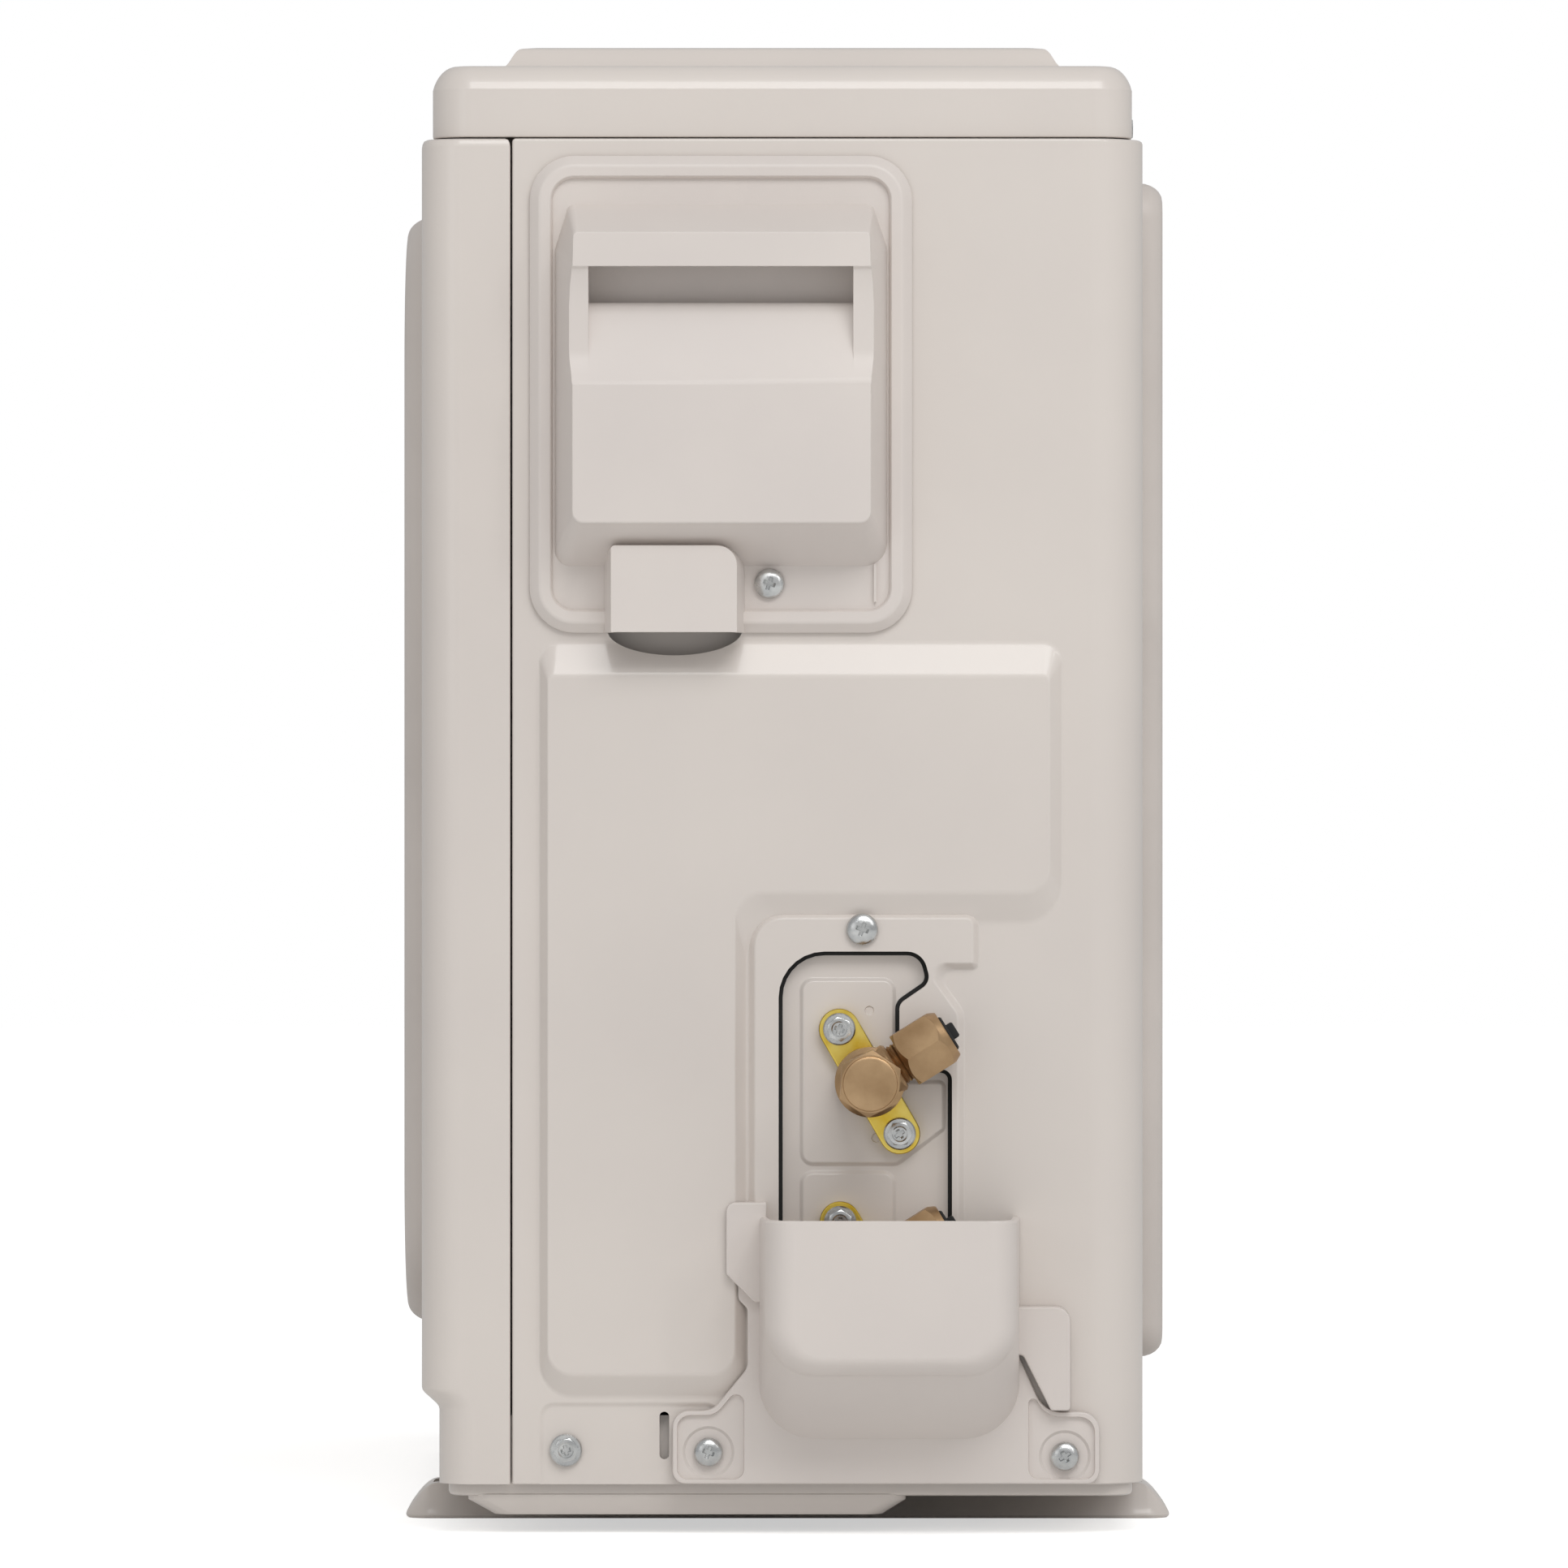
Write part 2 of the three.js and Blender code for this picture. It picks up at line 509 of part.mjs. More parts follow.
function terminalCover() {
  const border = rectangle(COVER.front, COVER.bottom, COVER.rear, COVER.top, COVER_LIP.radius);
  const plate = prism('x', outline(border), COVER_SEAT, COVER_SEAT + COVER_LIP.plate);
  const lip = loft('x', [
    [COVER_SEAT, outline(border)], [COVER_SEAT + COVER_LIP.rise - 2.5, outline(border)],
    [COVER_SEAT + COVER_LIP.rise, outline(border, 2.5)],
  ]).subtract(prism('x', outline(border, COVER_LIP.width), COVER_SEAT + 2.5, COVER_SEAT + 8));
  const box = (inset, from) => loft('x', [
    [from, outline(COVER_BOX.foot, inset)], [COVER_FACE - inset, outline(COVER_BOX.face, inset)],
  ]);
  const { front, rear, low, high, mouthFront, mouthRear, mouthLow } = FINGERS;
  const fingers = (grow) => loft('x', [
    [RECESS_BACK - grow, outline(rectangle(front - grow, low - grow, rear + grow, high + grow, 4))],
    [COVER_FACE + 1, outline(rectangle(mouthFront - grow, mouthLow - grow, mouthRear + grow, high + grow, 6))],
  ]);
  const hood = prism('x', outline(rectangle(HOOD.front, COVER.bottom, HOOD.rear, HOOD.top, 8)),
    COVER_SEAT, HOOD.face);
  const hoodInside = prism('x', outline(rectangle(HOOD.front + WALL, COVER.bottom - 20,
    HOOD.rear - WALL, HOOD.roof, 6)), COVER_SEAT - 1, HOOD.face - WALL);
  const inside = box(WALL, COVER_SEAT - 1).subtract(fingers(WALL));
  const screwHole = rod('x', ...COVER_SCREW, 2.6, COVER_SEAT - 1, COVER_FACE, 12);
  const screwNotch = rod('x', ...COVER_SCREW, 6.6, COVER_SEAT + COVER_LIP.plate, COVER_FACE, 16);
  return union(plate, lip, box(0, COVER_SEAT + 0.5), hood)
    .subtract(inside).subtract(fingers(0)).subtract(hoodInside)
    .subtract(screwHole).subtract(screwNotch);
}

addPiece('terminal_cover', terminalCover(), mattePlastic);
addPiece('terminal_cover_screw', screw('x', ...COVER_SCREW, COVER_SEAT + 3.3, 5.5, 3, 2.2, 3.2), zinc);

// ---------------------------------------------------------------- valve cover

const CUP_FACE = RIGHT + COVER_STAND;
const CUP_TOP = 118.2;
const VALVE_COVER_SCREWS = [[-27.4, 30.8], [104.7, 29.3]];
const COVER_OUTLINE = [
  [-40.8, 19, 5], [117.6, 19, 5], [117.6, 45.8, 7], [97, 45.8, 10], [88, 66, 6], [88, CUP_TOP, 2],
  [-20.9, CUP_TOP, 4], [-20.9, 91.9, 3], [-13, 84, 3], [-13, 62, 6], [-26, 46.2, 8], [-40.8, 46.2, 6],
];

const CUP = {                  // corners at the side sheet and at the face, below the open top
  foot: [[-8.8, 33, 16], [88, 33, 16]],
  face: [[-3, 66.8, 8], [83, 66.8, 8]],
};
const COVER_EARS = [           // raised tabs beside the cup
  [[85, 68, 0], [89.5, 66, 2], [98.5, 46.4, 2], [106.7, 46.4, 2], [106.7, 84.9, 6], [85, 84.9, 2]],
  [[-20.9, 96.5, 2], [-12, 87, 2], [-5, 87, 0], [-5, 123.6, 2], [-20.9, 123.6, 3]],
];
const EAR_FACE = RIGHT + 9;

// Water-collecting cover: a flange on the side sheet with an open-topped cup around the gas valve.
function valveCover() {
  const seat = RIGHT + GAP;
  const flange = prism('x', outline(COVER_OUTLINE), seat, seat + 2.6);
  const cup = (inset, from, top) => {
    const upTo = ([[u0, v0, r], [u1, v1]]) => [[u0, v0, r], [u1, v1, r], [u1, top, 2], [u0, top, 2]];
    return loft('x', [
      [from, outline(upTo(CUP.foot), inset)], [CUP_FACE - inset, outline(upTo(CUP.face), inset)],
    ]);
  };
  const clearEmboss = loft('x', [
    [RIGHT - 1, outline(L_EMBOSS, -0.6)], [RIGHT + EMBOSS + 0.6, outline(L_EMBOSS, 7)],
  ]);
  const ears = COVER_EARS.map((corners) => prism('x', outline(corners), seat, EAR_FACE));
  const holes = VALVE_COVER_SCREWS.map(([y, z]) => rod('x', y, z, 2.6, seat - 1, seat + 4, 12));
  return union(flange, cup(0, seat + 0.5, CUP_TOP), ...ears)
    .subtract(cup(WALL, seat - 1, CUP_TOP + 20)).subtract(clearEmboss).subtract(union(...holes));
}

addPiece('valve_cover', valveCover(), mattePlastic);
VALVE_COVER_SCREWS.forEach(([y, z], i) => {
  const name = ['valve_cover_screw_front', 'valve_cover_screw_rear'][i];
  addPiece(name, screw('x', y, z, RIGHT + 3.3, 5.3, 2.8, 2.2, 2.6), zinc);
});

// ---------------------------------------------------------------- valve bracket and valves

const FLANGE_SCREW_REACH = 22.4;
const flangeScrew = ([y, z], side) => [
  y + side * FLANGE_SCREW_REACH * Math.cos(FLANGE_ANGLE),
  z + side * FLANGE_SCREW_REACH * Math.sin(FLANGE_ANGLE),
];

const BRACKET = { front: -8, rear: 70, bottom: 52, top: 224, thick: 2, fold: 30, foldInset: 4 };

function valveBracket() {
  const { front, rear, bottom, top, thick, fold, foldInset } = BRACKET;
  const plate = prism('x', outline(rectangle(front, bottom, rear, top, 6)), BRACKET_FACE - thick, BRACKET_FACE);
  const ends = [bottom, top - thick].map((z) =>
    block(BRACKET_FACE - fold, front + foldInset, z, BRACKET_FACE - 1, rear - foldInset, z + thick));
  const holes = [LIQUID_VALVE, GAS_VALVE].flatMap((centre) => [
    rod('x', ...centre, 9, BRACKET_FACE - 40, BRACKET_FACE + 1),
    rod('x', ...flangeScrew(centre, 1), 2.6, BRACKET_FACE - 4, BRACKET_FACE + 1, 12),
    rod('x', ...flangeScrew(centre, -1), 2.6, BRACKET_FACE - 4, BRACKET_FACE + 1, 12),
  ]);
  return union(plate, ...ends).subtract(union(...holes));
}

addPiece('valve_bracket', valveBracket(), paintedSteel);

const ARM_X = RIGHT + 15;      // axis of the flare connection
const STEM_SEAT = RIGHT + 24;
const NUT_START = 15;
const NUT_END = 34;

// A solid about the flare axis of a valve, from a profile of [radius, distance] pairs.
function alongArm([y, z], profile, sides = 20, angle = ARM_ANGLE) {
  const solid = turned('z', 0, 0, profile, sides);
  return solid.rotate([-90 + THREE.MathUtils.radToDeg(angle), 0, 0]).translate([ARM_X, y, z]);
}

function valveBody(centre, servicePort) {
  const [y, z] = centre;
  const [along, up] = [Math.cos(FLANGE_ANGLE), Math.sin(FLANGE_ANGLE)];
  const lobe = (side) => rod('x', ...flangeScrew(centre, side), 7.5, BRACKET_FACE + 0.3, BRACKET_FACE + 4);
  const corner = (a, b) => [y + a * FLANGE_SCREW_REACH * along - b * 7.5 * up,
    z + a * FLANGE_SCREW_REACH * up + b * 7.5 * along];
  const web = prism('x', [corner(-1, 1), corner(-1, -1), corner(1, -1), corner(1, 1)],
    BRACKET_FACE + 0.3, BRACKET_FACE + 4);
  const barrel = turned('x', y, z, [[6, BRACKET_FACE - 22], [6, BRACKET_FACE + 0.3],
    [11.5, BRACKET_FACE + 0.31], [11.5, STEM_SEAT - 3], [9, STEM_SEAT]]);
  const arm = alongArm(centre, [[8.5, 0], [8.5, NUT_START - 4], [7, NUT_START - 3.9], [7, NUT_END - 6]]);
  const port = alongArm(centre, [[5.5, 0], [5.5, 17]], 16, Math.PI);
  const bores = [1, -1].map((side) =>
    rod('x', ...flangeScrew(centre, side), 2.6, BRACKET_FACE - 1, BRACKET_FACE + 6, 12));
  const stemBore = rod('x', y, z, 3.6, STEM_SEAT - 12, STEM_SEAT + 1, 16);
  const whole = servicePort ? union(lobe(1), lobe(-1), web, barrel, arm, port)
    : union(lobe(1), lobe(-1), web, barrel, arm);
  return whole.subtract(union(...bores)).subtract(stemBore);
}

function hexagonal(centre, acrossFlats, from, to, bore, boreFrom, boreTo) {
  const hex = circle(...centre, acrossFlats / Math.sqrt(3), 6, Math.PI / 12);
  return prism('x', hex, from, to).subtract(rod('x', ...centre, bore, boreFrom, boreTo, 16));
}

function flareNut(centre) {
  const outside = alongArm(centre, [[11, NUT_START], [12, NUT_START + 1], [12, NUT_END - 3],
    [10, NUT_END]], 6);
  return outside.subtract(alongArm(centre, [[7.4, NUT_START - 1], [7.4, NUT_END + 1]], 16));
}

function valveSet(prefix, centre, servicePort) {
  addPiece(`${prefix}_valve_body`, valveBody(centre, servicePort), brass);
  addPiece(`${prefix}_valve_stem`,
    rod('x', ...centre, 3.2, STEM_SEAT - 11.6, STEM_SEAT + 8, 12), brass);
  addPiece(`${prefix}_valve_cap`,
    hexagonal(centre, 21.6, STEM_SEAT + GAP, STEM_SEAT + 18, 4.4, STEM_SEAT - 1, STEM_SEAT + 12), brass);
  addPiece(`${prefix}_flare_nut`, flareNut(centre), brass);
  addPiece(`${prefix}_port_plug`,
    alongArm(centre, [[6.9, NUT_END - 5.6], [6.9, NUT_END - 1], [4.5, NUT_END + 3.5]], 12), blackRubber);
  for (const [side, place] of [[-1, 'upper'], [1, 'lower']]) {
    addPiece(`${prefix}_valve_screw_${place}`,
      screw('x', ...flangeScrew(centre, side), BRACKET_FACE + 4.3, 5.8, 3.4, 2.2, 8), zinc);
  }
}

valveSet('liquid', LIQUID_VALVE, false);
valveSet('gas', GAS_VALVE, true);
addPiece('service_port_cap',
  alongArm(GAS_VALVE, [[7, 17.4], [7, 27], [5.5, 29]], 16, Math.PI), brass);

// ---------------------------------------------------------------- coil and partition

const COIL = { rear: REAR - 6, left: LEFT + 4, bottom: 16, top: 512, front: -96 };

function coil() {
  const right = PARTITION_X - 8;
  const plan = [
    [COIL.left, COIL.front, 0], [COIL.left + COIL_THICK, COIL.front, 0],
    [COIL.left + COIL_THICK, COIL.rear - COIL_THICK, 20], [right, COIL.rear - COIL_THICK, 0],
    [right, COIL.rear, 0], [COIL.left, COIL.rear, 40],
  ];
  return prism('z', outline(plan, 0, 6), COIL.bottom, COIL.top);
}

addPiece('coil', coil(), aluminium);
addPiece('coil_right_end_plate',
  block(PARTITION_X - 7.6, COIL.rear - COIL_THICK - 4, 16, PARTITION_X - 6, COIL.rear, COIL.top), galvanised);
addPiece('coil_front_end_plate',
  block(COIL.left, COIL.front - 2, 16, COIL.left + COIL_THICK + 4, COIL.front - GAP, COIL.top), galvanised);
addPiece('partition_plate', union(
  block(PARTITION_X, FRONT + 14, 16, PARTITION_X + SHEET, 98, 514),
  block(PARTITION_X, 97, 16, PARTITION_X + 16, 98.2, 514)), galvanised);

// ---------------------------------------------------------------- fan

const MOTOR = { front: -38, rear: 40, radius: 42 };
const HUB = { front: -92, rear: -40, radius: 44 };
const BLADES = 3;
const BLADE = { chord: 62, widen: 128, pitch: 38, untwist: 16, sweep: -26, camber: 9, half: 1.3, rake: 6 };
const RAIL = { spacing: 62, half: 7, deep: 12, wall: 1.2, bottom: 16, top: 514 };
const TIES = [[-55, 110], [211.7, 18], [-268.3, 24]];   // height from the fan's axis, and width
const BORE = 4.4;

function fanMotorBracket() {
  const face = MOTOR.rear + GAP;
  const { spacing, half, deep, wall, bottom, top } = RAIL;
  const rail = (x) => block(x - half, face, bottom, x + half, face + deep, top)
    .subtract(block(x - half + wall, face + wall, bottom - 1, x + half - wall, face + deep + 1, top + 1));
  const ties = TIES.map(([rise, height]) =>
    block(FAN_X - spacing, face, FAN_Z + rise, FAN_X + spacing, face + wall, FAN_Z + rise + height));
  return union(rail(FAN_X - spacing), rail(FAN_X + spacing), ...ties);
}

function fanMotor() {
  const can = turned('y', FAN_X, FAN_Z, [[30, MOTOR.front], [MOTOR.radius, MOTOR.front + 10],
    [MOTOR.radius, MOTOR.rear - 8], [36, MOTOR.rear]], 32);
  const lug = (dx, dz) => block(FAN_X + dx * 38 - 12, MOTOR.rear - 6, FAN_Z + dz * 22 - 10,
    FAN_X + dx * 38 + 12, MOTOR.rear, FAN_Z + dz * 22 + 10);
  return union(can, lug(-1, -1), lug(1, -1), lug(-1, 1), lug(1, 1));
}

// One blade: sections along the radius, each a thin cambered strip set at a pitch angle.
function fanBlade(index) {
  const sections = [0, 0.25, 0.5, 0.75, 1].map((t) => {
    const radius = HUB.radius - 3 + t * (FAN_RADIUS + 6 - HUB.radius);
    const chord = BLADE.chord + BLADE.widen * Math.pow(t, 0.8);
    const pitch = THREE.MathUtils.degToRad(BLADE.pitch - BLADE.untwist * t);
    const sweep = BLADE.sweep * t * t;
    const rib = [-0.5, -0.17, 0.17, 0.5].map((s) => [s * chord + sweep, BLADE.camber * (1 - 4 * s * s) * t]);
    const strip = [...rib.map(([u, v]) => [u, v - BLADE.half]),
      ...rib.reverse().map(([u, v]) => [u, v + BLADE.half])];
    const centreY = (HUB.front + HUB.rear) / 2;
    return [radius, strip.map(([u, v]) => [
      u * Math.cos(pitch) - v * Math.sin(pitch),
      u * Math.sin(pitch) + v * Math.cos(pitch) + centreY + BLADE.rake * t,
    ])];
  });
  const upright = loft('z', sections);
  const limit = rod('z', 0, 0, FAN_RADIUS, -70, 70, 48).rotate([90, 0, 0]).translate([0, -66, 0]);
  return upright.intersect(limit).rotate([0, (360 / BLADES) * index, 0]).translate([FAN_X, 0, FAN_Z]);
}

function propellerFan() {
  const hub = turned('y', FAN_X, FAN_Z, [[HUB.radius - 8, HUB.front], [HUB.radius, HUB.front + 8],
    [HUB.radius, HUB.rear]], 36);
  const blades = Array.from({ length: BLADES }, (_, i) => fanBlade(i));
  return union(hub, ...blades).subtract(rod('y', FAN_X, FAN_Z, BORE, HUB.front - 1, HUB.rear + 1, 12));
}

addPiece('fan_motor_bracket', fanMotorBracket(), galvanised);
addPiece('fan_motor', fanMotor(), blackPaint);
addPiece('motor_shaft', rod('y', FAN_X, FAN_Z, 4, HUB.front - 9, MOTOR.front - GAP, 12), zinc);
addPiece('propeller_fan', propellerFan(), fanPlastic);
addPiece('fan_nut', rod('y', FAN_X, FAN_Z, 8, HUB.front - 8, HUB.front - GAP, 6)
  .subtract(rod('y', FAN_X, FAN_Z, BORE, HUB.front - 12, HUB.front + 1, 12)), zinc);

// ---------------------------------------------------------------- compressor room

const COMPRESSOR = { x: 195, y: -30, radius: 58, bottom: 30, top: 252 };
const ACCUMULATOR = { x: 284, y: -58, radius: 23, bottom: 92, top: 236 };
const GROMMET_REACH = 76;
const BASE_PLATE = { corner: 24, radius: 16, thick: 3 };   // three-cornered plate under the shell
const grommetPlace = (index) => {
  const angle = (index * 2 * Math.PI) / 3 + Math.PI / 2;
  return [COMPRESSOR.x + GROMMET_REACH * Math.cos(angle), COMPRESSOR.y + GROMMET_REACH * Math.sin(angle)];
};

function compressor() {
  const { x, y, radius, bottom, top } = COMPRESSOR;
  const shell = turned('z', x, y, [[34, bottom - 4], [radius - 8, bottom + 4], [radius, bottom + 18],
    [radius, top - 26], [radius - 10, top - 10], [24, top]], 32);
  const places = [0, 1, 2].map(grommetPlace);
  const plate = prism('z', outline(places.map(([u, v]) => {
    const grow = (GROMMET_REACH + BASE_PLATE.corner) / GROMMET_REACH;
    return [x + (u - x) * grow, y + (v - y) * grow, BASE_PLATE.radius];
  })), bottom - 4, bottom - 4 + BASE_PLATE.thick);
  return union(shell, plate);
}

function accumulator() {
  const { x, y, radius, bottom, top } = ACCUMULATOR;
  return turned('z', x, y, [[8, bottom - 8], [radius, bottom + 8], [radius, top - 12], [7, top]], 20);
}

addPiece('compressor', compressor(), blackPaint);
addPiece('accumulator', accumulator(), blackPaint);
addPiece('compressor_terminal_cap',
  turned('z', COMPRESSOR.x - 4, COMPRESSOR.y, [[19, COMPRESSOR.top + GAP], [19, COMPRESSOR.top + 16],
    [15, COMPRESSOR.top + 20]], 20), blackRubber);
[0, 1, 2].forEach((index) => {
  addPiece(`compressor_grommet_${index + 1}`, turned('z', ...grommetPlace(index),
    [[12, PAN_FLOOR + SHEET + GAP], [9, 20], [12, COMPRESSOR.bottom - 4 - GAP]], 16), blackRubber);
});

const REVERSING = { x: 190, y: 78, z: 300, radius: 13, half: 52, port: 24 };
const EXPANSION = { x: 130, y: 76, z: 230 };

function reversingValve() {
  const { x, y, z, radius, half } = REVERSING;
  return union(rod('x', y, z, radius, x - half, x + half, 20), rod('x', y, z, 5, x - half - 6, x + half + 6, 12),
    block(x - 16, y + 11, z - 14, x + 16, y + 36, z + 14));
}

addPiece('reversing_valve', reversingValve(), brass);
addPiece('expansion_valve', turned('z', EXPANSION.x, EXPANSION.y,
  [[8, EXPANSION.z - 26], [8, EXPANSION.z], [17, EXPANSION.z + 1], [17, EXPANSION.z + 30],
    [12, EXPANSION.z + 34]], 20), brass);

// Each pipe runs through bends that leave room for the next, as [X, Y, Z] along its middle.
const valveTail = BRACKET_FACE - 22 - GAP;
const PIPE = { discharge: 5, suction: 6.5, liquid: 4, gas: 6.5 };   // outer radius
addPiece('discharge_pipe', tube([
  [COMPRESSOR.x + 38, COMPRESSOR.y + 6, COMPRESSOR.top + 2], [COMPRESSOR.x + 38, COMPRESSOR.y + 8, 330],
  [COMPRESSOR.x + 20, 40, 350], [REVERSING.x, REVERSING.y, 338],
  [REVERSING.x, REVERSING.y, REVERSING.z + 14],
], PIPE.discharge), copper);
addPiece('suction_pipe', tube([
  [ACCUMULATOR.x, ACCUMULATOR.y, ACCUMULATOR.top + 1], [ACCUMULATOR.x, ACCUMULATOR.y, 286],
  [276, 10, 306], [262, 64, 262], [222, 80, 250],
  [REVERSING.x + REVERSING.port, REVERSING.y, 272],
  [REVERSING.x + REVERSING.port, REVERSING.y, REVERSING.z - 14],
], PIPE.suction), copper);
addPiece('liquid_pipe', tube([
  [valveTail, ...LIQUID_VALVE], [valveTail - 22, ...LIQUID_VALVE], [262, 46, 150],
  [200, 88, 140], [EXPANSION.x + 6, EXPANSION.y + 6, 156], [EXPANSION.x, EXPANSION.y, 180],
  [EXPANSION.x, EXPANSION.y, EXPANSION.z - 26.6],
], PIPE.liquid), copper);
addPiece('gas_pipe', tube([
  [valveTail, ...GAS_VALVE], [valveTail - 20, ...GAS_VALVE], [264, 70, 108], [232, 102, 160],
  [190, 100, 224], [REVERSING.x, REVERSING.y + 2, 258], [REVERSING.x, REVERSING.y, REVERSING.z - 14.6],
], PIPE.gas), copper);

// ---------------------------------------------------------------- electrics

const BOX = { left: 112, right: 296, front: -118, rear: 60, bottom: 386, top: 500, wall: 1.6 };
const HEAT_SINK = { left: 140, right: 260, front: -70, rear: 10, fins: 9, pitch: 14, thick: 2.5, deep: 24 };
const BOARD = { rise: 14, thick: 1.6, margin: 10, relays: [-90, -50, -10], capacitors: [-70, -34] };

function electricalBox() {
  const plan = rectangle(BOX.left, BOX.front, BOX.right, BOX.rear, 4);
  return prism('z', outline(plan), BOX.bottom, BOX.top)
    .subtract(prism('z', outline(plan, BOX.wall), BOX.bottom + BOX.wall, BOX.top + 1));
}

function heatSink() {
  const { left, right, front, rear, pitch, thick, deep } = HEAT_SINK;
  const plate = block(left, front, BOX.bottom - 4, right, rear, BOX.bottom - GAP);
  const fins = Array.from({ length: HEAT_SINK.fins }, (_, i) => {
    const x = left + 2 + i * pitch;
    return block(x, front, BOX.bottom - deep, x + thick, rear, BOX.bottom - 3);
  });
  return union(plate, ...fins);
}

function circuitBoard() {
  const { rise, thick, margin } = BOARD;
  const z = BOX.bottom + rise;
  const board = block(BOX.left + margin, BOX.front + margin + 2, z,
    BOX.right - margin, BOX.rear - margin - 2, z + thick);
  const relays = BOARD.relays.map((y) => block(220, y, z + 1, 246, y + 24, z + 20));
  const capacitors = BOARD.capacitors.map((y) => rod('z', 160, y, 14, z + 1, z + 40, 20));
  return union(board, ...relays, ...capacitors);
}

const TERMINAL_X = 300;
const TERMINALS = { front: -58, rear: 14, bottom: 424, top: 456, walls: 7, pitch: 11.6, wall: 2 };

function terminalBlock() {
  const { front, rear, bottom, top, pitch, wall } = TERMINALS;
  const body = block(TERMINAL_X + 2, front, bottom, TERMINAL_X + 16, rear, top);
  const walls = Array.from({ length: TERMINALS.walls }, (_, i) =>
    block(TERMINAL_X + 15, front + i * pitch, bottom, TERMINAL_X + 22, front + i * pitch + wall, top));
  return union(body, ...walls);
}

addPiece('electrical_box', electricalBox(), galvanised);
addPiece('circuit_board', circuitBoard(), boardGreen);
addPiece('heat_sink', heatSink(), aluminium);
addPiece('terminal_plate',
  prism('x', outline(rectangle(-84, 344, 42, 508, 4)), TERMINAL_X, TERMINAL_X + 1.6), galvanised);
addPiece('terminal_block', terminalBlock(), blackPaint);

// The origin is at the bottom centre of the whole unit.
unit.position.y = (FRONT_BULGE - REAR_BULGE) / 2;

export default unit;
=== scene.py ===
# %% [markdown]
# # Outdoor unit of a small split heat pump
# The unit stands square-on with its service side towards the viewer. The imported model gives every
# place and size: this script loads it, reads its boxes, and builds the surface that the eye sees
# around it. All lengths below are millimetres from the middle of the cabinet's depth, and one
# function turns them into Blender's metres.

# %% Load the frame
import math

import bmesh
import bpy
from mathutils import Matrix, Vector


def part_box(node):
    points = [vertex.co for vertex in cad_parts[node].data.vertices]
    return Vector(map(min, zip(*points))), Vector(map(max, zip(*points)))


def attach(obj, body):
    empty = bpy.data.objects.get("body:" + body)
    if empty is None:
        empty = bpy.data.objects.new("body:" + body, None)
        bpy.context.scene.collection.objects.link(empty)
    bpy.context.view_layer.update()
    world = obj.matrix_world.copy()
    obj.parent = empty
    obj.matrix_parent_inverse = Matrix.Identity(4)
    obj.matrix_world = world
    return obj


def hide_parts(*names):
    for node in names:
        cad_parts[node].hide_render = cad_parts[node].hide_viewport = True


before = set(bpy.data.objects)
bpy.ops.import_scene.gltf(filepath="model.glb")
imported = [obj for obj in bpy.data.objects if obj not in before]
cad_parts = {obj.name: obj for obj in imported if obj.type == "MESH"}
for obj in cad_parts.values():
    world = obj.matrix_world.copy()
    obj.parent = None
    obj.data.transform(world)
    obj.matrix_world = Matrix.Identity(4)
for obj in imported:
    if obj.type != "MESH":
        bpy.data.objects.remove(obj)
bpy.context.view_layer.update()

MM = 0.001


def box_mm(node):
    """A node's lowest and highest corners in millimetres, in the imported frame."""
    return [[value / MM for value in corner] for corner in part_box(node)]


front_low, front_high = box_mm("front_panel")
side_low, side_high = box_mm("right_side_panel")
LEFT, RIGHT = front_low[0], front_high[0]
MID_Y = (front_low[1] + side_high[1]) / 2      # the middle of the cabinet's depth
FRONT, REAR = front_low[1] - MID_Y, side_high[1] - MID_Y
SEAM_Y = side_low[1] - MID_Y                   # front sheet meets side sheet
PANEL_BOTTOM, PANEL_TOP = front_low[2], front_high[2]
SHEET = 1.2                                    # painted sheet steel
print("cabinet", [round(v, 1) for v in (LEFT, RIGHT, FRONT, REAR, PANEL_BOTTOM, PANEL_TOP)])


def centre_of(node):
    """The middle of a node's box, in the script's own millimetres."""
    low, high = box_mm(node)
    return [(low[0] + high[0]) / 2, (low[1] + high[1]) / 2 - MID_Y, (low[2] + high[2]) / 2]


# %% [markdown]
# ## Camera and studio
# A long lens at the height of the unit's middle looks straight at the service side, so parallel
# edges stay parallel. White paper lies under the unit in a white room, with nothing behind it, so
# that it can be viewed from every side. One wide soft box hangs above and towards the viewer, a
# weaker one fills from the fan side, and a narrow strip gives the gloss of the enamel something to
# mirror.

# %% Camera, paper floor and lights
scene = bpy.context.scene
scene.view_settings.view_transform = "Standard"


def link(obj):
    """Puts an object into the scene and returns it."""
    scene.collection.objects.link(obj)
    return obj


CAMERA_DISTANCE = 4.5                          # from the service side, metres
camera_data = bpy.data.cameras.new("camera")
camera_data.lens = 278.5
camera_data.sensor_width = 36.0
camera = link(bpy.data.objects.new("camera", camera_data))
camera.location = (RIGHT * MM + CAMERA_DISTANCE, 0.0033, 0.2785)
camera.rotation_euler = (math.radians(90), 0, math.radians(90))
scene.camera = camera


FLOOR_REACH = 9.0                              # metres each way


def paper_floor():
    """Flat sheet of white paper under the unit, open on every side."""
    verts = [(x, y, 0.0) for x in (-FLOOR_REACH, FLOOR_REACH) for y in (-FLOOR_REACH, FLOOR_REACH)]
    mesh = bpy.data.meshes.new("paper_floor")
    mesh.from_pydata(verts, [], [(0, 2, 3, 1)])
    return link(bpy.data.objects.new("paper_floor", mesh))


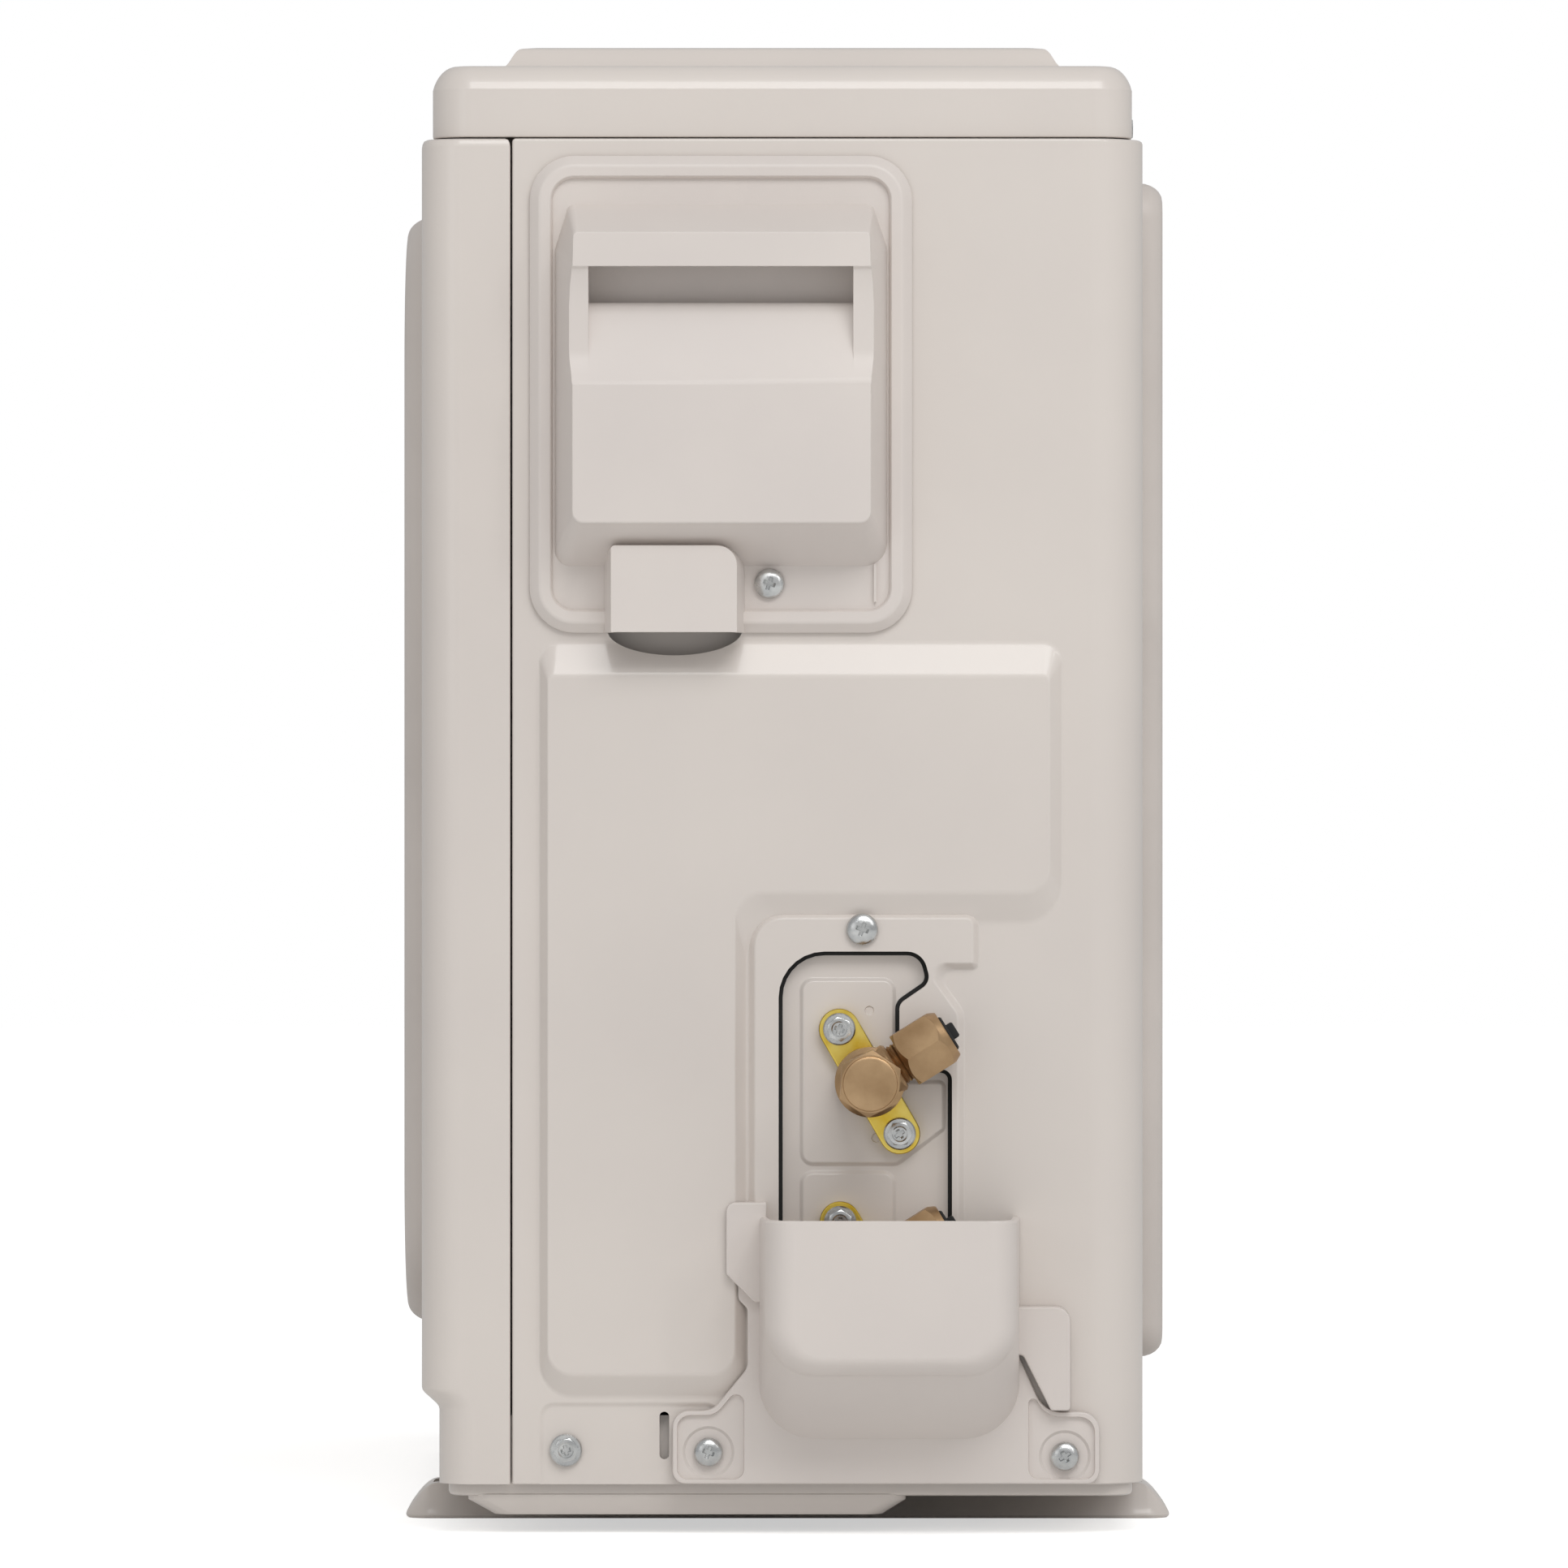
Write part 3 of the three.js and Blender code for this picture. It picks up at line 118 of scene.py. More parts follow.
def soft_box(name, place, target, size, power):
    """An area light that looks at a point."""
    data = bpy.data.lights.new(name, "AREA")
    data.shape = "RECTANGLE"
    data.size, data.size_y = size
    data.energy = power
    lamp = link(bpy.data.objects.new(name, data))
    lamp.location = place
    direction = Vector(target) - Vector(place)
    lamp.rotation_euler = direction.to_track_quat("-Z", "Y").to_euler()


floor = paper_floor()
middle = (0.0, 0.0, 0.28)
soft_box("overhead_box", (2.6, 0.5, 2.5), middle, (2.0, 1.2), 36)
soft_box("fill_box", (3.2, -1.8, 0.9), middle, (1.2, 1.2), 3)
soft_box("strip_box", (2.4, 1.9, 1.7), middle, (0.25, 1.0), 5.5)
# Two small bare lamps give the enamel its sharp glints.
soft_box("glint_lamp_front", (3.4, -0.95, 2.1), middle, (0.09, 0.09), 1.6)
soft_box("glint_lamp_rear", (3.0, 1.25, 2.3), middle, (0.09, 0.09), 1.6)
ROOM_LIGHT = 0.5                               # what the white room sends onto the unit
world = bpy.data.worlds.new("studio")
world.use_nodes = True
room = world.node_tree.nodes["Background"]
room.inputs["Color"].default_value = (1.0, 1.0, 1.0, 1.0)
# The room is seen as plain white, and lights the unit with ROOM_LIGHT only.
seen = world.node_tree.nodes.new("ShaderNodeLightPath").outputs["Is Camera Ray"]
level = world.node_tree.nodes.new("ShaderNodeMapRange")
level.inputs["To Min"].default_value = ROOM_LIGHT
world.node_tree.links.new(seen, level.inputs["Value"])
world.node_tree.links.new(level.outputs["Result"], room.inputs["Strength"])
scene.world = world
print("camera at", [round(v, 3) for v in camera.location])

# %% [markdown]
# ## Finishes
# Each finish starts from the real material and how its surface was made. Powder-coated sheet has
# a glossy skin with a faint orange peel. Moulded covers are duller, with the fine grain of an
# eroded tool. Fasteners are zinc-plated, valves are forged brass, pipes are drawn copper. Every
# pattern reads Object coordinates, in metres, so its scale is one over its real size.

# %% Material helpers
def linear(hex_colour):
    """An sRGB hex colour as linear red, green, blue and alpha."""
    channels = [int(hex_colour[i:i + 2], 16) / 255 for i in (1, 3, 5)]
    bent = [c / 12.92 if c <= 0.04045 else ((c + 0.055) / 1.055) ** 2.4 for c in channels]
    return (*bent, 1.0)


def add_node(tree, kind, inputs=None, **settings):
    """Adds a node, sets its properties, and sets or links its inputs."""
    node = tree.nodes.new(kind)
    for name, value in settings.items():
        setattr(node, name, value)
    for key, value in (inputs or {}).items():
        if isinstance(value, bpy.types.NodeSocket):
            tree.links.new(value, node.inputs[key])
        else:
            node.inputs[key].default_value = value
    return node


def material(name, shades, rough, grain_mm, bump_mm, pattern="noise", blotch_mm=60, **shader):
    """A finish: two shades mixed by a soft blotch, a roughness range, and a fine bumped grain."""
    made = bpy.data.materials.new(name)
    made.use_nodes = True
    tree = made.node_tree
    tree.nodes.clear()
    place = add_node(tree, "ShaderNodeTexCoord").outputs["Object"]
    blotch = add_node(tree, "ShaderNodeTexNoise", {
        "Vector": place, "Scale": 1 / (blotch_mm * MM), "Detail": 4.0}).outputs["Fac"]
    if pattern == "spangle":
        cells = add_node(tree, "ShaderNodeTexVoronoi", {"Vector": place, "Scale": 1 / (grain_mm * MM)})
        grain = add_node(tree, "ShaderNodeSeparateColor", {"Color": cells.outputs["Color"]}).outputs[0]
        tint = add_node(tree, "ShaderNodeMath", {0: blotch, 1: grain}, operation="MULTIPLY").outputs[0]
    elif pattern == "lathe":
        waves = add_node(tree, "ShaderNodeTexWave", {
            "Vector": place, "Scale": 1 / (grain_mm * MM) / 6.283, "Distortion": 1.5, "Detail": 2.0},
            bands_direction="X")
        grain, tint = waves.outputs["Fac"], blotch
    else:
        fine = add_node(tree, "ShaderNodeTexNoise", {
            "Vector": place, "Scale": 1 / (grain_mm * MM), "Detail": 2.0})
        grain, tint = fine.outputs["Fac"], blotch
    ramp = add_node(tree, "ShaderNodeValToRGB", {"Fac": tint})
    ramp.color_ramp.elements[0].color = linear(shades[0])
    ramp.color_ramp.elements[1].color = linear(shades[1])
    ramp.color_ramp.elements[0].position, ramp.color_ramp.elements[1].position = 0.3, 0.7
    polish = add_node(tree, "ShaderNodeMapRange", {
        "Value": grain if pattern == "spangle" else blotch, "To Min": rough[0], "To Max": rough[1]})
    bump = add_node(tree, "ShaderNodeBump", {"Height": grain, "Distance": bump_mm * MM})
    skin = add_node(tree, "ShaderNodeBsdfPrincipled", {
        "Base Color": ramp.outputs["Color"], "Roughness": polish.outputs["Result"],
        "Normal": bump.outputs["Normal"], **{key.replace("_", " "): v for key, v in shader.items()}})
    add_node(tree, "ShaderNodeOutputMaterial", {"Surface": skin.outputs["BSDF"]})
    return made


# %% The finishes of the unit
# Powder-coated sheet steel: glossy, with a faint orange peel drawn 2.6 mm wide so that it shows.
painted_steel = material("powder_coated_steel", ("#D6CEC8", "#DDD5CE"), (0.3, 0.38), 2.6, 0.02,
                         blotch_mm=140, Coat_Weight=0.35, Coat_Roughness=0.06)
# Moulded ASA covers: satin, with an eroded grain of about 0.8 mm.
cover_plastic = material("moulded_cover_plastic", ("#D7CFCA", "#DDD5CF"), (0.38, 0.46), 0.8, 0.015,
                         blotch_mm=90, IOR=1.5)
# Polypropylene fan and guards: mid grey or body colour, satin, slightly waxy.
fan_plastic = material("moulded_fan_plastic", ("#85898B", "#94989A"), (0.4, 0.5), 1.0, 0.02, IOR=1.49)
guard_plastic = material("moulded_guard_plastic", ("#CFC7C1", "#D8D0CA"), (0.4, 0.5), 1.0, 0.02, IOR=1.5)
# Bright zinc plate on screw heads.
zinc_plate = material("bright_zinc_plate", ("#B9BBBC", "#DCDDDC"), (0.18, 0.34), 0.9, 0.01,
                      blotch_mm=5, Metallic=1.0)
# Hot-dip galvanised sheet: spangle of about 7 mm.
galvanised_steel = material("galvanised_steel", ("#9CA1A4", "#C2C6C8"), (0.3, 0.48), 7, 0.01,
                            pattern="spangle", Metallic=1.0)
# Forged and shot-blasted brass of caps and nuts: matte, drawn with a 0.7 mm grain.
forged_brass = material("forged_brass", ("#A58663", "#C4A580"), (0.36, 0.48), 0.7, 0.03,
                        blotch_mm=14, Metallic=1.0)
# Turned brass of stems and threads: fine tool rings.
turned_brass = material("turned_brass", ("#B8954A", "#D9BC6E"), (0.2, 0.3), 0.9, 0.015,
                        pattern="lathe", blotch_mm=10, Metallic=1.0)
# Yellow-passivated valve flange.
passivated_flange = material("yellow_passivated_zinc", ("#E2BE3E", "#F4DE7C"), (0.24, 0.36), 1.2, 0.01,
                             blotch_mm=9, Metallic=1.0)
# Drawn copper tube, slightly oxidised.
copper_tube = material("drawn_copper_tube", ("#9E5B3C", "#CB8560"), (0.24, 0.4), 1.4, 0.012,
                       blotch_mm=22, Metallic=1.0)
# Rolled aluminium fin stock.
aluminium_fins = material("rolled_aluminium", ("#AEB3B6", "#C9CDCF"), (0.3, 0.42), 2.0, 0.01,
                          blotch_mm=30, Metallic=1.0)
# Die-cast aluminium of the heat sink.
cast_aluminium = material("die_cast_aluminium", ("#A4A8AA", "#BCC0C2"), (0.42, 0.55), 0.8, 0.03,
                          blotch_mm=18, Metallic=1.0)
black_rubber = material("moulded_black_rubber", ("#151515", "#222222"), (0.65, 0.8), 0.8, 0.02, blotch_mm=12)
black_enamel = material("stoved_black_enamel", ("#151617", "#202122"), (0.22, 0.34), 2.2, 0.03,
                        blotch_mm=40, Coat_Weight=0.3, Coat_Roughness=0.15)
terminal_plastic = material("moulded_terminal_plastic", ("#1B1C1E", "#26272A"), (0.4, 0.5), 0.6, 0.02,
                            blotch_mm=10, IOR=1.58)
# White paper, lit from below as on a light table, which keeps the shadow under the unit soft.
PAPER_GLOW = 0.55
table_paper = material("white_paper", ("#F8F8F7", "#FDFDFC"), (0.85, 0.95), 3.0, 0.01, blotch_mm=700,
                       Emission_Color=(1.0, 1.0, 1.0, 1.0))
paper_tree = table_paper.node_tree
seen = add_node(paper_tree, "ShaderNodeLightPath").outputs["Is Camera Ray"]
glow = add_node(paper_tree, "ShaderNodeMath", {0: seen, 1: PAPER_GLOW}, operation="MULTIPLY").outputs[0]
skin = next(node for node in paper_tree.nodes if node.type == "BSDF_PRINCIPLED")
paper_tree.links.new(glow, skin.inputs["Emission Strength"])
floor.data.materials.append(table_paper)


def circuit_lacquer():
    """Green solder mask with tracks about 1.5 mm wide, in rows 4 mm apart."""
    made = bpy.data.materials.new("circuit_board_lacquer")
    made.use_nodes = True
    tree = made.node_tree
    tree.nodes.clear()
    place = add_node(tree, "ShaderNodeTexCoord").outputs["Object"]
    tracks = add_node(tree, "ShaderNodeTexBrick", {
        "Vector": place, "Scale": 1 / (8 * MM) / 2, "Color1": linear("#1F5B3A"), "Color2": linear("#27684A"),
        "Mortar": linear("#3F8A5E"), "Mortar Size": 0.03})
    bump = add_node(tree, "ShaderNodeBump", {"Height": tracks.outputs["Fac"], "Distance": 0.04 * MM})
    skin = add_node(tree, "ShaderNodeBsdfPrincipled", {
        "Base Color": tracks.outputs["Color"], "Roughness": 0.3, "Normal": bump.outputs["Normal"],
        "Coat Weight": 0.4, "Coat Roughness": 0.1})
    add_node(tree, "ShaderNodeOutputMaterial", {"Surface": skin.outputs["BSDF"]})
    return made


circuit_board_lacquer = circuit_lacquer()
print(len(bpy.data.materials), "materials")

# %% [markdown]
# ## Outlines and solids
# Sheet-metal pressings and mouldings are all outlines that change a little from section to
# section, so one function rounds the corners of an outline and one joins sections into a closed
# solid. Booleans cut the openings. Face-weighted normals then keep large flats flat while bends
# stay smooth.

# %% Outlines
def inset_corners(corners, inset):
    """Moves every side of an anticlockwise [u, v, radius] polygon inwards."""
    moved = []
    for i, corner in enumerate(corners):
        u, v = corner[0], corner[1]
        radius = corner[2] if len(corner) > 2 else 0
        before, after = corners[i - 1], corners[(i + 1) % len(corners)]
        length_in = math.hypot(u - before[0], v - before[1])
        length_out = math.hypot(after[0] - u, after[1] - v)
        n1 = (-(v - before[1]) / length_in, (u - before[0]) / length_in)
        n2 = (-(after[1] - v) / length_out, (after[0] - u) / length_out)
        scale = inset / (1 + n1[0] * n2[0] + n1[1] * n2[1])
        convex = n1[0] * n2[1] - n1[1] * n2[0] > 0
        kept = max(0.3, radius - (inset if convex else -inset)) if radius else 0
        moved.append((u + (n1[0] + n2[0]) * scale, v + (n1[1] + n2[1]) * scale, kept))
    return moved


def fillet(corner, before, after, radius, steps):
    """Points of the arc that rounds one corner."""
    here = Vector(corner[:2])
    back, on = Vector(before[:2]) - here, Vector(after[:2]) - here
    room = 0.49 * min(back.length, on.length)
    back.normalize()
    on.normalize()
    half = math.acos(max(-1.0, min(1.0, back.dot(on)))) / 2
    reach = min(radius / math.tan(half), room)
    middle_line = (back + on).normalized()
    centre = here + middle_line * (reach / math.cos(half))
    start, end = here + back * reach, here + on * reach
    first = math.atan2(start.y - centre.y, start.x - centre.x)
    turn = math.atan2(end.y - centre.y, end.x - centre.x) - first
    turn = (turn + math.pi) % (2 * math.pi) - math.pi
    actual = (start - centre).length
    return [(centre.x + actual * math.cos(first + turn * i / steps),
             centre.y + actual * math.sin(first + turn * i / steps)) for i in range(steps + 1)]


def rounded(corners, inset=0.0, steps=7):
    """Points of a polygon with rounded corners, moved inwards by `inset`."""
    moved = inset_corners(corners, inset)
    points = []
    for i, corner in enumerate(moved):
        if len(corners[i]) < 3 or corners[i][2] == 0:
            points.append(corner[:2])
        else:
            points += fillet(corner, moved[i - 1], moved[(i + 1) % len(moved)], corner[2], steps)
    return points


def rectangle(u0, v0, u1, v1, radius=0.0):
    return [(u0, v0, radius), (u1, v0, radius), (u1, v1, radius), (u0, v1, radius)]


def circle(u, v, radius, sides=40, turn=0.0):
    return [(u + radius * math.cos(turn + 2 * math.pi * i / sides),
             v + radius * math.sin(turn + 2 * math.pi * i / sides)) for i in range(sides)]


def between(points_a, points_b, share):
    """Points part of the way from one outline to another with the same count."""
    return [(a[0] + (b[0] - a[0]) * share, a[1] + (b[1] - a[1]) * share)
            for a, b in zip(points_a, points_b)]


# %% Solids
PLACE = {"x": lambda u, v, w: (w, u, v), "y": lambda u, v, w: (u, w, v), "z": lambda u, v, w: (u, v, w)}


def loft(axis, sections):
    """A closed shell through [distance along the axis, points] sections."""
    count = len(sections[0][1])
    verts = [PLACE[axis](u, v, w) for w, points in sections for u, v in points]
    faces = []
    for low in range(0, (len(sections) - 1) * count, count):
        for i in range(count):
            j = (i + 1) % count
            faces.append((low + i, low + j, low + count + j, low + count + i))
    last = (len(sections) - 1) * count
    faces.append(tuple(reversed(range(count))))
    faces.append(tuple(range(last, last + count)))
    return verts, faces


def prism(axis, points, start, end):
    return loft(axis, [(start, points), (end, points)])


def block(x0, y0, z0, x1, y1, z1):
    return prism("z", [(x0, y0), (x1, y0), (x1, y1), (x0, y1)], z0, z1)


def turned(axis, u, v, profile, sides=40, turn=0.0):
    """A round body from a profile of (radius, distance) pairs."""
    return loft(axis, [(w, circle(u, v, max(radius, 0.02), sides, turn)) for radius, w in profile])


def metres(point):
    return (point[0] * MM, (point[1] + MID_Y) * MM, point[2] * MM)


def solid(*shells, turn=None):
    """One mesh in metres from closed shells, with its faces pointing outwards."""
    mesh = bpy.data.meshes.new("solid")
    verts, faces = [], []
    for shell_verts, shell_faces in shells:
        start = len(verts)
        verts += [metres(turn @ Vector(v) if turn else v) for v in shell_verts]
        faces += [tuple(start + i for i in face) for face in shell_faces]
    mesh.from_pydata(verts, [], faces)
    work = bmesh.new()
    work.from_mesh(mesh)
    bmesh.ops.recalc_face_normals(work, faces=work.faces)
    work.to_mesh(mesh)
    work.free()
    return mesh


OPERATIONS = {"cut": "DIFFERENCE", "join": "UNION", "keep": "INTERSECT"}


def evaluated_mesh(obj):
    """The mesh that an object's modifiers give."""
    bpy.context.view_layer.update()
    return bpy.data.meshes.new_from_object(obj.evaluated_get(bpy.context.evaluated_depsgraph_get()))


def shaped(base, *steps):
    """A base mesh changed by ("cut" | "join" | "keep", mesh) steps in turn."""
    host = link(bpy.data.objects.new("host", base))
    operands = []
    for kind, tool in steps:
        operand = link(bpy.data.objects.new("operand", tool))
        operands.append(operand)
        change = host.modifiers.new(kind, "BOOLEAN")
        change.operation = OPERATIONS[kind]
        change.solver = "MANIFOLD"
        change.object = operand
    result = evaluated_mesh(host)
    for obj in (host, *operands):
        bpy.data.objects.remove(obj)
    return result


def eased(share, bend=0.25):
    """Height along a slope whose two ends are rounded, from 0 to 1."""
    rise = 1 / (1 - bend)
    if share < bend:
        return rise * share * share / (2 * bend)
    if share > 1 - bend:
        return 1 - rise * (1 - share) ** 2 / (2 * bend)
    return rise * (share - bend / 2)


def slope_shares(bend=0.25, steps=5):
    """Where the sections of a rounded slope go."""
    foot = [bend * i / steps for i in range(steps + 1)]
    return foot + [1 - share for share in reversed(foot)]


def step_sections(base_points, top_points, start, height, bend=0.25, steps=5):
    """Sections of a pressed step: from the sheet at `start`, rounded up to `height` above it."""
    return [(start + height * eased(share, bend), between(base_points, top_points, share))
            for share in slope_shares(bend, steps)]


def turned_solid(*args, **kwargs):
    return solid(turned(*args, **kwargs))


def edge_count(mesh):
    """How many edges of a mesh aren't shared by exactly two faces."""
    work = bmesh.new()
    work.from_mesh(mesh)
    open_edges = sum(1 for edge in work.edges if len(edge.link_faces) != 2)
    work.free()
    return open_edges


def smooth(mesh, angle=32):
    """Smooth shading with creases kept, and normals that follow the large faces."""
    mesh.shade_smooth()
    mesh.set_sharp_from_angle(angle=math.radians(angle))
    holder = link(bpy.data.objects.new("holder", mesh))
    weighted = holder.modifiers.new("weighted", "WEIGHTED_NORMAL")
    weighted.keep_sharp = True
    result = evaluated_mesh(holder)
    bpy.data.objects.remove(holder)
    return result


def piece(name, mesh, finish, body="cabinet", replaces=(), slot="painted_steel", angle=32):
    """Finishes a mesh, gives it its material and hangs it on its body."""
    done = smooth(mesh, angle)
    done.name = name
    finishes = finish if isinstance(finish, (list, tuple)) else [finish]
    parts = [polygon.material_index for polygon in done.polygons]
    done.materials.clear()
    for one in finishes:
        done.materials.append(one)
    for polygon, part in zip(done.polygons, parts):
        polygon.material_index = part
    obj = link(bpy.data.objects.new(name, done))
    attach(obj, body)
    if replaces:
        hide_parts(*replaces)
    done.calc_loop_triangles()
    print(f"{name}: {len(done.loop_triangles)} triangles, {edge_count(done)} loose edges")
    return obj


def joined(*meshes):
    """Several meshes as one, each keeping its own material index."""
    work = bmesh.new()
    for index, mesh in enumerate(meshes):
        first = len(work.faces)
        work.from_mesh(mesh)
        work.faces.ensure_lookup_table()
        for face in work.faces[first:]:
            face.material_index = index
    result = bpy.data.meshes.new("joined")
    work.to_mesh(result)
    work.free()
    return result

# %% [markdown]
# ## Service side sheet
# One pressing of 1.2 mm steel: an L-shaped raised field for stiffness, a small plateau round the
# valve opening, a knock-out for cables and a round bend to the rear. Each raised field is a loft
# from its foot outline to its top outline, because the press gave each side its own slope.

# %% Service side sheet
RAISE = 5.0                                     # height of the L-shaped field
L_FOOT = [(-90.4, 50, 13), (-13, 50, 12), (-13, 225.5, 16), (104.3, 225.5, 15), (104.3, 332.4, 8),
          (-90.4, 332.4, 8)]
L_TOP = [(-86.6, 60.5, 9), (-18, 60.5, 9), (-18, 239.8, 9), (98.4, 239.8, 9), (98.4, 317, 2),
         (-86.6, 317, 2)]
PLATEAU_RAISE = 3.2
PLATEAU_FOOT = [(-13, 40, 4), (68, 40, 4), (68, 194, 9), (57, 209.2, 5), (73.5, 209.2, 2.5),
                (73.5, 231.6, 5.5), (-13, 231.6, 13.5)]
VALVE_OPENING = [(-1.4, 60, 6), (62.9, 60, 6), (62.9, 172, 4), (43.4, 176, 4), (43.4, 197, 4),
                 (55, 205, 5), (52, 216.4, 10), (-1.4, 216.4, 17)]
WIRING_OPENING = rectangle(-70, 352, 27, 500, 8)
CORNER_FIELD = rectangle(-90.7, 12, -22.4, 49.6, 6)
CORNER_DEPTH = 0.9
CORNER_SLOT = rectangle(-45.6, 28, -42, 45.6, 1.8)
UPPER_SCREW = centre_of("side_panel_upper_screw")[1:]
LOWER_SCREW = centre_of("side_panel_lower_screw")[1:]
CABLE_HOLE = (-39.9, 335.6, 25.0, 9.4)          # centre Y, flat top Z, half width, depth


def l_sections(start):
    return step_sections(rounded(L_FOOT), rounded(L_TOP), start, RAISE, bend=0.2)


def plateau_sections(start, slope=3.4):
    return step_sections(rounded(PLATEAU_FOOT), rounded(PLATEAU_FOOT, slope), start, PLATEAU_RAISE, 0.35)


def with_root(axis, sections, root):
    """A step as a solid that starts `root` below its foot."""
    return solid(loft(axis, [(sections[0][0] - root, sections[0][1]), *sections]))


def cable_hole():
    y, z, half, depth = CABLE_HOLE
    arc = [(y + half * math.cos(a), z + depth * math.sin(a))
           for a in (math.pi + math.pi * i / 24 for i in range(25))]
    return prism("x", arc, RIGHT - 4, RIGHT + 4)


def service_side():
    back = side_low[0]
    seam = SEAM_Y + 0.35
    plan = [(back, seam), (RIGHT, seam, 1.1), (RIGHT, REAR, 21), (back, REAR)]
    outer = solid(loft("z", [
        (PANEL_BOTTOM, rounded(plan, 0.3, 12)), (PANEL_BOTTOM + 0.4, rounded(plan, 0, 12)),
        (PANEL_TOP - 1.2, rounded(plan, 0, 12)), (PANEL_TOP - 0.5, rounded(plan, 0.25, 12)),
        (PANEL_TOP, rounded(plan, 1.0, 12))]))
    inner = solid(prism("z", rounded(plan, SHEET, 12), PANEL_BOTTOM - 2, PANEL_TOP - SHEET))
    front_fold = 12
    open_back = solid(block(back - 2, seam - 2, PANEL_BOTTOM - 2, RIGHT - front_fold, seam + 6,
                            PANEL_TOP - SHEET))
    open_rear = solid(block(back - 2, seam + SHEET, PANEL_BOTTOM - 3, back + 3, REAR - SHEET,
                            PANEL_TOP - SHEET))
    open_top = solid(prism("z", rounded([(back - 2, seam - 2), (RIGHT - 14, seam - 2),
                                         (RIGHT - 14, REAR - 14, 8), (back - 2, REAR - 14)]),
                           PANEL_TOP - 4, PANEL_TOP + 2))
    lift = RIGHT - 0.02
    l_field, plateau = l_sections(lift), plateau_sections(lift)
    behind = [(w - SHEET, points) for w, points in l_field]
    behind_plateau = [(w - SHEET, points) for w, points in plateau]
    corner = step_sections(rounded(CORNER_FIELD), rounded(CORNER_FIELD, 2.6), RIGHT + 0.02, -CORNER_DEPTH,
                           0.4)
    screw_seat = turned_solid("x", *UPPER_SCREW, [(2.7, RIGHT - 6), (2.7, RIGHT + 8)], 24)
    low_hole = turned_solid("x", *LOWER_SCREW, [(2.7, RIGHT - 6), (2.7, RIGHT + 8)], 24)
    return shaped(
        outer, ("cut", inner), ("cut", open_back), ("cut", open_rear), ("cut", open_top),
        ("join", with_root("x", l_field, 0.6)), ("join", with_root("x", plateau, 0.6)),
        ("cut", with_root("x", behind, 3)), ("cut", with_root("x", behind_plateau, 3)),
        ("cut", solid(loft("x", [(RIGHT + 1, corner[0][1]), *corner]))),
        ("cut", solid(prism("x", rounded(VALVE_OPENING), RIGHT - 4, RIGHT + 9))),
        ("cut", solid(prism("x", rounded(WIRING_OPENING), RIGHT - 4, RIGHT + 9))),
        ("cut", solid(prism("x", rounded(CORNER_SLOT), RIGHT - 4, RIGHT + 4))),
        ("cut", solid(cable_hole())), ("cut", screw_seat), ("cut", low_hole))


piece("service_side_sheet", service_side(), painted_steel, replaces=["right_side_panel"])

# %% [markdown]
# ## Front sheet
# The front sheet carries the bell mouth of the fan and wraps round to the sides with a flange. It
# steps back near the ground. The bell mouth is drawn inwards from the sheet with a rolled lip, so
# its section is a quarter round, turned about the fan's axis.

# %% Front sheet
fan_low, fan_high = box_mm("propeller_fan")
FAN_X, _, FAN_Z = centre_of("fan_nut")
FRONT_BEND = 15.0                               # bend from the front to the service side
MOUTH_RADIUS = 206.0
MOUTH_DEPTH = 18.0
TOE_SETBACK = 6.6
TOE_LOW, TOE_HIGH = 46.0, 54.2


def toe_profile():
    """How far the front of the sheet stands back at each height, with rounded knees."""
    points = [(PANEL_BOTTOM, TOE_SETBACK)]
    for i in range(9):
        share = i / 8
        points.append((TOE_LOW + (TOE_HIGH - TOE_LOW) * share, TOE_SETBACK * (1 - eased(share, 0.3))))
    return points


